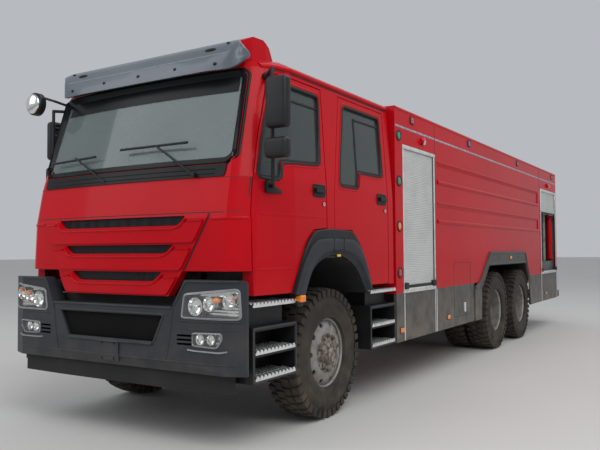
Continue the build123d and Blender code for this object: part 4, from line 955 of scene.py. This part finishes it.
def evenly(path, count):
    """Points at even distances along an open path."""
    runs = [(end - start).length for start, end in zip(path, path[1:])]
    made = []
    for index in range(count):
        left = sum(runs) * index / (count - 1)
        for start, end, run in zip(path, path[1:], runs):
            if left <= run or end is path[-1]:
                made.append(start.lerp(end, min(1, left / run)))
                break
            left -= run
    return made


ARCH_STEPS = 48


def arch_curves():
    """The front arch's outer edge, its lip's edge, which leaves the outer one towards the top, and the opening."""
    outer = evenly(traced(ARCH_OUTER, 0.09, 0.03), ARCH_STEPS)
    inner = evenly(traced(ARCH_INNER, 0.30, 0.03), ARCH_STEPS)
    lip = [far.lerp(near, 0.05 + 0.32 * sin(pi * index / (ARCH_STEPS - 1)) ** 2)
           for index, (far, near) in enumerate(zip(outer, inner))]
    return outer, lip, inner


def add_skins(bm, rows):
    for side in (1, -1):
        add_rows(bm, [[at(x, side * y, z) for x, z in points] for points, y in rows], False)


def between(first, second, share):
    return [a.lerp(b, share) for a, b in zip(first, second)]


def front_arch_band(bm):
    outer, lip, inner = arch_curves()
    add_skins(bm, [(outer, 1.192), (outer, 1.252), (between(outer, lip, 0.10), 1.258), (lip, 1.258), (lip, 1.192)])


def front_arch_trim(bm):
    """The rolled lip around the wheel arch."""
    outer, lip, inner = arch_curves()
    rows = [(lip, 1.192), (lip, 1.266), (between(lip, inner, 0.03), 1.276), (between(lip, inner, 0.10), 1.283),
            (between(lip, inner, 0.22), 1.2855), (between(lip, inner, 0.60), 1.2835), (between(lip, inner, 0.70),
                                                                                       1.276),
            (between(lip, inner, 0.78), 1.256), (inner, 1.235), (inner, 1.120)]
    add_skins(bm, rows)


def arch_linings(bm, path, low, high):
    """A dark inner skin under a wheel arch: partly the liner's own dark colour, partly painted shade in the arch's
    hollow.
    """
    for side in (1, -1):
        add_rows(bm, [[at(x, side * y, z - lift) for x, z in path]
                      for y, lift in ((low, 0.004), (high, 0.004), (high, 0.010), (low, 0.010))], False)


def arch_details(bm):
    for side in (1, -1):
        face = beside(side, 1.2835)
        for x in (0.115, -0.055):
            add_run(bm, (x, 1.520), (x + 0.004, 1.420), 0.04, 0.004, 0.003, face, section=FLAT)
        add_soft_box(bm, at(0.590, side * 1.232, 0.990), at(0.668, side * 1.268, 1.036), 0.006, 2)


def rear_arch_edges(bm):
    """The bevelled outer edge and the rolled inner edge of the rear arches."""
    for side in (1, -1):
        face = beside(side, 1.2495)
        add_line(bm, traced(grown(REAR_ARCH_OUTER, -0.020)[1:-1], 0.05, 0.06), 0.040, 0.014, face)
        add_line(bm, traced(grown(REAR_ARCH_INNER, 0.014)[1:-1], 0.05, 0.06), 0.026, 0.010, face)
        for x in (-4.85, -5.95):
            add_ball(bm, at(x, side * 1.250, 1.300), 0.014, (1, 0.5, 1))


new_piece("front_arch_trim", "cab", SLATE, front_arch_trim, ["front_arches"])
new_piece("front_arch_band", "cab", BLACK, front_arch_band)
new_piece("front_arch_lining", "cab", SHADE_AND_LINER,
          lambda bm: arch_linings(bm, evenly(traced(ARCH_INNER, 0.30, 0.03), 32), 0.62, 1.215))
new_piece("rear_arch_lining", "chassis", SHADE_AND_LINER,
          lambda bm: arch_linings(bm, traced(REAR_ARCH_INNER[1:-1], 0.0, 0.1), 0.57, 1.232))
new_piece("arch_details", "cab", RUBBER, arch_details)
new_piece("rear_arch_edges", "chassis", SKIRT_GREY, rear_arch_edges)


# Doors: handles, locks and creases

HANDLES = {"front": 0.190, "rear": -1.000}

for side_name, side in SIDES:
    for door, x in HANDLES.items():
        panel = on_side(side, f"{door}_door_{side_name}")
        flat = beside(side, BODY_WALL + 0.0002)
        body = f"{door}_door_{side_name}"
        bm = bmesh.new()
        recess = ((x, 1.858), (x + 0.188, 1.858), (x + 0.188, 1.955), (x, 1.955))
        add_sheet(bm, traced(recess, 0.02, 0.05, True), 0.0015, flat, edge=0.001)
        add_line(bm, traced(recess, 0.02, 0.05, True), 0.012, 0.005, flat, True)
        add_rod(bm, at(x + 0.022, side * 1.234, 1.800), at(x + 0.022, side * 1.240, 1.800), 0.017)
        piece(f"{door}_handle_recess_{side_name}", bm, body, BLACK)
        bm = bmesh.new()
        add_lathe(bm, [(0.004, 0.009), (0.010, 0.009), (0.010, 0.015), (0.004, 0.016)],
                  at(x + 0.022, side * 1.234, 1.800), 24)
        if side < 0:
            bmesh.ops.translate(bm, verts=bm.verts, vec=(0, -0.014, 0))
        piece(f"{door}_lock_{side_name}", bm, body, BRIGHT)
    bm = bmesh.new()
    panel = on_side(side, f"front_door_{side_name}")
    add_run(bm, (1.125, 1.285), (0.700, 1.285), 0.06, 0.018, 0.004, panel)
    add_run(bm, (1.125, 1.690), (0.170, 1.690), 0.06, 0.026, 0.002, panel)
    piece(f"door_creases_{side_name}", bm, f"front_door_{side_name}", RED)


# Steps

STEP_BOXES = ((0.640, 1.215, 0.487, 0.880, 1.055), (-1.205, -0.640, 0.500, 0.900, 1.050))


def tread_places():
    """Both ends, the height and the side of every tread."""
    for low_x, high_x, foot, head, top in STEP_BOXES:
        niche = (head - foot - 0.09) / 2
        for z in (foot + 0.03, foot + 0.06 + niche, top - 0.022):
            inset = 0.03 if z < head else 0.0
            for side in (1, -1):
                yield low_x + inset, high_x - inset, z, side


def tread_shade_plates(bm):
    # Near-black plates under the tread bars: painted shade for the shaded holes between the grating's ribs.
    for low_x, high_x, z, side in tread_places():
        add_soft_box(bm, at(low_x, side * 1.000, z), at(high_x, side * 1.238, z + 0.010), 0.003, 2)


def tread_bars(bm):
    """Slanted raised bars, and the toothed strip along the front edge."""
    for low_x, high_x, z, side in tread_places():
        count = int((high_x - low_x) / 0.044)
        pitch = (high_x - low_x) / count
        for row, y in enumerate((1.010, 1.066, 1.122, 1.178)):
            for index in range(count):
                x = low_x + (index + (0.15, 0.55)[row % 2]) * pitch
                add_prism(bm, [at(x, side * y, z + 0.009), at(x + 0.012, side * y, z + 0.009),
                               at(x + 0.032, side * (y + 0.050), z + 0.009),
                               at(x + 0.020, side * (y + 0.050), z + 0.009)],
                          (0, 0, 0.010))
        outline = [at(low_x, side * 1.236, z - 0.012)]
        for index in range(count):
            x = low_x + index * pitch
            outline += [at(x + pitch * share, side * 1.236, z + up)
                        for share, up in ((0.0, 0.004), (0.25, 0.021), (0.60, 0.021), (0.85, 0.004))]
        outline += [at(high_x, side * 1.236, z + 0.004), at(high_x, side * 1.236, z - 0.012)]
        add_prism(bm, outline, (0, side * 0.006, 0))


def step_edges(bm):
    """Rolled edges around the step boxes' openings."""
    for low_x, high_x, foot, head, _ in STEP_BOXES:
        edge = [(low_x + 0.012, foot + 0.010), (high_x - 0.012, foot + 0.010), (high_x - 0.012, head - 0.010),
                (low_x + 0.012, head - 0.010)]
        for side in (1, -1):
            add_line(bm, traced(edge, 0.015, 0.2, True), 0.018, 0.006, beside(side, BODY_WALL), True)


new_piece("tread_shade_plates", "chassis", RUBBER, tread_shade_plates, ["step_treads"])
new_piece("tread_bars", "chassis", BRIGHT, tread_bars)
new_piece("step_edges", "chassis", SLATE, step_edges)


# Roller shutters

FRONT_SHUTTER = (-2.330, -1.425)
REAR_SHUTTER = (-8.860, -7.610)
SHUTTER_FOOT, SHUTTER_HEAD, HALF_OPEN = 1.020, 2.508, 2.068
SLAT = 0.0186


def shutter_stands():
    """Each curtain's place, width, foot, head and the height that it hangs to."""
    for low, high in (FRONT_SHUTTER, REAR_SHUTTER):
        for side in (1, -1):
            stand = Matrix.Diagonal((1, side, 1, 1)) @ Matrix.Translation(at(low, 1.209, 0))
            hang = HALF_OPEN if side > 0 and low == REAR_SHUTTER[0] else SHUTTER_FOOT
            yield stand, high - low, SHUTTER_FOOT, SHUTTER_HEAD, hang
    back = Matrix.Translation(at(-8.894, -0.600, 0)) @ Matrix.Rotation(pi / 2, 4, "Z")
    yield back, 1.200, 1.095, SHUTTER_HEAD, 1.095


def curtains(bm):
    for stand, width, foot, head, hang in shutter_stands():
        count = round((head - 0.03 - hang) / SLAT)
        outline = [(0.002, head - 0.03), (0.002, hang)]
        for index in range(count):
            low = hang + index * SLAT
            outline += [(0.0105, low), (0.0165, low + 0.004), (0.0165, low + SLAT - 0.006),
                        (0.0105, low + SLAT - 0.001)]
        made = bmesh.new()
        add_prism(made, [(0.024, y, z) for y, z in outline], (width - 0.048, 0, 0))
        bmesh.ops.transform(made, matrix=stand, verts=made.verts)
        absorb(bm, made)


def shutter_frames(bm):
    for stand, width, foot, head, hang in shutter_stands():
        for low, high in (((0, 0.004, foot), (0.022, 0.032, head)), ((width - 0.022, 0.004, foot), (width, 0.032,
                                                                                                    head)),
                          ((-0.006, 0.002, head - 0.034), (width + 0.006, 0.036, head + 0.004)),
                          ((0.0, -0.020, foot - 0.022), (width, 0.034, foot + 0.004))):
            add_soft_box(bm, low, high, 0.004, 2, stand)


def shutter_fittings(bm):
    """Dark guides, the bar at each curtain's foot and the latch blocks."""
    for stand, width, foot, head, hang in shutter_stands():
        for x in (0.022, width - 0.040):
            add_soft_box(bm, (x, 0.004, foot + 0.005), (x + 0.016, 0.022, head - 0.036), 0.003, 2, stand)
        add_soft_box(bm, (0.040, 0.010, hang + 0.004), (width - 0.040, 0.026, hang + 0.034), 0.006, 2, stand)
        for x in (0.004, width - 0.104):
            add_soft_box(bm, (x, 0.006, foot - 0.006), (x + 0.100, 0.046, foot + 0.062), 0.010, 2, stand)
    stand, width, foot, head, hang = list(shutter_stands())[2]
    for x in (0.10, 0.62, 1.10):
        add_soft_box(bm, (x, 0.014, hang - 0.030), (x + 0.06, 0.036, hang + 0.020), 0.008, 2, stand)


new_piece("shutter_curtains", "chassis", SHUTTER, curtains, ["roller_shutters"], smooth=25)
new_piece("shutter_frames", "chassis", BRIGHT, shutter_frames)
new_piece("shutter_fittings", "chassis", RUBBER, shutter_fittings)


# Body side details

def ring(x, z, radius, count=28):
    return [Vector((x + radius * cos(turn), z + radius * sin(turn)))
            for turn in (index * 2 * pi / count for index in range(count))]


ROUND_LAMPS = ((2.592, GREEN), (2.125, GREEN), (1.663, AMBER), (1.191, RED_LENS))
STROBES = (-1.684, -3.586, -6.029, -8.566)
MARKERS = ((-1.365, 0.605, 1.235), (-2.736, 0.624, 1.235), (-5.475, 1.296, 1.250), (-7.900, 0.624, 1.235))
FLOODS = (-1.960, -8.190)
SMALL_DOOR = ((-3.580, 0.600), (-2.950, 0.600), (-2.950, 1.257), (-3.580, 1.257))


def lamp_mounts(bm):
    for side in (1, -1):
        wall = beside(side, BODY_WALL - 0.0005)
        for z, _ in ROUND_LAMPS:
            add_line(bm, ring(-1.330, z, 0.049), 0.020, 0.012, wall, True)
            add_sheet(bm, ring(-1.330, z, 0.046), 0.004, wall, edge=0.001)
        for x in STROBES:
            add_line(bm, traced(((x - 0.045, 2.762), (x + 0.045, 2.762), (x + 0.045, 2.838), (x - 0.045, 2.838)),
                                0.015, 0.05,
                                True), 0.014, 0.012, wall, True)
        for x, z, y in MARKERS:
            add_soft_box(bm, at(x - 0.050, side * (y - 0.004), z - 0.030),
                         at(x + 0.050, side * (y + 0.004), z + 0.030), 0.004, 2)


new_piece("lamp_mounts", "chassis", RUBBER, lamp_mounts, ["body_lamps"])
for label, material in (("green", GREEN), ("amber", AMBER), ("red", RED_LENS), ("blue", BLUE)):
    bm = bmesh.new()
    for side in (1, -1):
        for z, shown in ROUND_LAMPS:
            if shown is material:
                add_ball(bm, at(-1.330, side * 1.237, z), 0.042, (1, 0.26, 1))
        for x in STROBES:
            if material is (RED_LENS if x == STROBES[0] else BLUE):
                add_soft_box(bm, at(x - 0.040, side * 1.232, 2.766), at(x + 0.040, side * 1.246, 2.834), 0.008, 3)
        if material is AMBER:
            for x, z, y in MARKERS:
                add_soft_box(bm, at(x - 0.043, side * y, z - 0.024), at(x + 0.043, side * (y + 0.014), z + 0.024),
                             0.008, 3)
        if material is RED_LENS:
            for x in FLOODS:
                add_rod(bm, at(x, side * 1.234, 2.618), at(x - 0.012, side * 1.262, 2.606), 0.034, 24, 0.042)
    piece(f"lenses_{label}", bm, "chassis", material)


def flood_glasses(bm):
    for side in (1, -1):
        for x in FLOODS:
            add_ball(bm, at(x - 0.012, side * 1.262, 2.606), 0.036, (1, 0.40, 1))


new_piece("arch_marker_lamps", "cab", AMBER,
          lambda bm: add_twins(bm, (0.586, 1.240, 1.024, 0.664, 1.292, 1.078, 0.009, 3)))
new_piece("arch_lip_markers", "cab", YELLOW,
          lambda bm: add_twins(bm, (0.000, 1.268, 1.366, 0.056, 1.281, 1.386, 0.004, 2)))
new_piece("flood_glasses", "chassis", CHROME, flood_glasses)


def silver_strip(bm):
    for side in (1, -1):
        for low, high in ((-2.335, -1.245), (-7.520, -2.355), (-8.830, -7.540)):
            add_run(bm, (low, 2.690), (high, 2.690), 0.5, 0.022, 0.0015, beside(side, BODY_WALL), section=FLAT)


def body_seams(bm):
    for side in (1, -1):
        wall = beside(side, BODY_WALL)
        for x in (-2.345, -7.530):
            add_run(bm, (x, 0.985), (x, 2.880), 0.5, 0.009, 0.0012, wall, section=FLAT)
        add_line(bm, traced(SMALL_DOOR, 0.01, 0.2, True), 0.005, 0.0012, wall, True, FLAT)


def shutter_sills(bm):
    """Slanted bars on the sills below the side shutters."""
    for low, high in (FRONT_SHUTTER, REAR_SHUTTER):
        for side in (1, -1):
            count = int((high - low) / 0.075)
            for index in range(count):
                x = low + 0.02 + index * (high - low - 0.04) / count
                add_prism(bm, [at(x, side * 1.2405, 0.986), at(x + 0.030, side * 1.2405, 0.986),
                               at(x + 0.055, side * 1.2405, 1.012), at(x + 0.025, side * 1.2405, 1.012)],
                               (0, side * 0.005, 0))


def skirt_strips(bm):
    """Pale strips that frame the skirt's panels, and the small door's handle."""
    for side in (1, -1):
        wall = beside(side, BODY_WALL)
        for x in (-1.442, -2.318, -2.362, -7.598, -8.870):
            add_run(bm, (x, 0.495), (x, 0.972), 0.3, 0.015, 0.006, wall)
        add_soft_box(bm, at(-3.335, side * 1.234, 0.640), at(-3.285, side * 1.256, 0.760), 0.008, 2)
        for low, high in (FRONT_SHUTTER, REAR_SHUTTER):
            add_soft_box(bm, at(low - 0.01, side * 1.180, 0.976), at(high + 0.01, side * 1.241, 0.998), 0.004, 2)


def body_pressings(bm):
    """Rolled upper edges of the stamped panels and the small door."""
    for side in (1, -1):
        wall = beside(side, BODY_WALL - 0.0005)
        for z, width, rise in ((2.200, 0.054, 0.016), (1.745, 0.054, 0.016), (2.438, 0.022, 0.007),
                               (1.961, 0.022, 0.007)):
            add_run(bm, (-7.400, z), (-2.425, z), 0.4, width, rise, wall)
        add_run(bm, (-3.560, 1.246), (-2.970, 1.246), 0.3, 0.012, 0.005, wall)
        add_run(bm, (-8.900, 2.868), (-1.255, 2.868), 0.5, 0.030, 0.006, wall)


new_piece("silver_strip", "chassis", SILVER_TAPE, silver_strip)
new_piece("body_seams", "chassis", RUBBER, body_seams)
new_piece("shutter_sills", "chassis", BRIGHT, shutter_sills)
new_piece("skirt_strips", "chassis", BRIGHT, skirt_strips)
new_piece("body_pressings", "chassis", RED, body_pressings)


# Back of the truck

def standpipes(bm):
    """The red pipes that stand inside the pump room's doors, with their flanges."""
    for side in (1, -1):
        add_rod(bm, at(-8.780, side * 1.130, 1.240), at(-8.780, side * 1.130, 2.060), 0.045, 24)
        for z in (1.240, 1.560, 2.040):
            add_rod(bm, at(-8.780, side * 1.130, z), at(-8.780, side * 1.130, z + 0.022), 0.066, 24)
    rounded(bm, 0.003)


def pump_panels(bm):
    """Grey panels with a row of gauges behind the rear shutters."""
    add_twins(bm, (-8.250, 0.985, 1.180, -7.720, 1.005, 1.950, 0.012, 3),
              (-8.840, 1.080, 1.030, -7.640, 1.196, 1.200, 0.012, 3))
    for side in (1, -1):
        for x in (-8.140, -7.980, -7.820):
            add_rod(bm, at(x, side * 1.000, 1.780), at(x, side * 1.022, 1.780), 0.052, 24)


new_piece("standpipes", "chassis", RED, standpipes)
new_piece("pump_panels", "chassis", SKIRT_GREY, pump_panels)
new_piece("rear_lamp_boxes", "chassis", BLACK, lambda bm: add_twins(
    bm, (-8.952, 1.030, 0.700, -8.915, 1.190, 1.010, 0.012, 3),
    (-8.950, 1.040, 2.560, -8.915, 1.180, 2.640, 0.010, 3)))
for label, material, slot, heights in (("red", RED_LENS, "lamp_plastic", ((0.715, 0.805), (2.570, 2.630))),
                                       ("amber", AMBER, "lamp_plastic", ((0.812, 0.902),)),
                                       ("clear", CHROME, "lamp_glass", ((0.909, 0.995),))):
    new_piece(f"rear_lenses_{label}", "chassis", material, lambda bm: add_twins(
        bm, *((-8.964, 1.044, low, -8.946, 1.176, high, 0.008, 3) for low, high in heights)))


# Seats

def pad(name, low, high, lean, anchor, replaced=()):
    """A crowned cushion: its box is rounded, swelled towards the middle of each face and leant about an anchor."""
    bm = bmesh.new()
    add_box(bm, low, high)
    bevel(bm, bm.edges[:], 0.035, 3)
    low, high = Vector(low), Vector(high)
    for axis in range(3):
        for share in (0.2, 0.4, 0.6, 0.8):
            normal = Vector([float(index == axis) for index in range(3)])
            bmesh.ops.bisect_plane(bm, geom=[*bm.verts, *bm.edges, *bm.faces], plane_co=low.lerp(high, share),
                                   plane_no=normal)
    middle = (low + high) / 2
    for vert in bm.verts:
        share = [abs(vert.co[axis] - middle[axis]) / (abs(high[axis] - low[axis]) / 2) for axis in range(3)]
        for axis in range(3):
            others = [share[other] for other in range(3) if other != axis]
            crown = (1 - others[0] ** 2) * (1 - others[1] ** 2)
            vert.co[axis] = middle[axis] + (vert.co[axis] - middle[axis]) * (0.90 + 0.10 * crown)
    bmesh.ops.rotate(bm, cent=anchor, matrix=Matrix.Rotation(radians(lean), 3, "Y"), verts=bm.verts)
    made = piece(name, bm, "cab", FABRIC, replaced)
    smooth = made.modifiers.new("smooth", "SUBSURF")
    smooth.levels = smooth.render_levels = 1
    return made


for name, x, low, high in (("left", 0.300, 0.445, 0.885), ("right", 0.300, -0.885, -0.445),
                           ("bench", -0.480, -0.950, 0.950)):
    pad(f"seat_cushion_{name}", at(x - 0.470, low, 1.650), at(x + 0.035, high, 1.815), 0, at(x, 0, 1.65),
        ["seats"] if name == "left" else ())
    pad(f"seat_back_{name}", at(x - 0.485, low, 1.815), at(x - 0.365, high, 2.510), -9, at(x - 0.42, 0, 1.81))


def seat_frames(bm):
    for x, middles in ((0.300, (0.665, -0.665)), (-0.480, (0.690, -0.690))):
        for y in middles:
            add_soft_box(bm, at(x - 0.430, y - 0.190, 1.402), at(x, y + 0.190, 1.646), 0.020, 2)


new_piece("seat_frames", "cab", BLACK, seat_frames)


# Floor, lights and camera

def studio():
    bm = bmesh.new()
    bmesh.ops.create_grid(bm, x_segments=1, y_segments=1, size=120)
    floor = placed("floor", meshed("floor", bm))
    floor.data.materials.append(finish("pale_floor", (0.62, 0.61, 0.59), 0.8, (0.60, 0.59, 0.57), 0.4))
    world = bpy.data.worlds.new("studio")
    bpy.context.scene.world = world
    world.use_nodes = True
    world.node_tree.nodes["Background"].inputs["Color"].default_value = (0.86, 0.90, 0.95, 1)
    world.node_tree.nodes["Background"].inputs["Strength"].default_value = 0.55
    for name, place, aim, size, power in (
            ("key", (9, 9, 11), (0, 0, 1), 9, 900), ("fill", (12, -6, 8), (1, 0, 1), 8, 300),
            ("top", (-4, 3, 13), (-2, 0, 0), 10, 400)):
        light = bpy.data.lights.new(name, "AREA")
        light.size = size
        light.energy = power
        lamp = placed(name, light)
        lamp.location = place
        lamp.rotation_euler = (Vector(aim) - Vector(place)).to_track_quat("-Z", "Y").to_euler()


def photo_camera():
    data = bpy.data.cameras.new("photo_view")
    data.lens = 40.84
    data.sensor_width = 36
    data.clip_end = 400
    camera = placed("photo_view", data)
    yaw, pitch, roll = radians(211.95), radians(2.18), radians(-0.36)
    ahead = Vector((cos(yaw) * cos(pitch), sin(yaw) * cos(pitch), sin(pitch)))
    camera.rotation_euler = (ahead.to_track_quat("-Z", "Y").to_matrix() @ Matrix.Rotation(roll, 3, "Z")).to_euler()
    camera.location = (8.903, 4.039, 1.417)
    bpy.context.scene.camera = camera


studio()
photo_camera()
bpy.context.scene.view_settings.view_transform = "Standard"
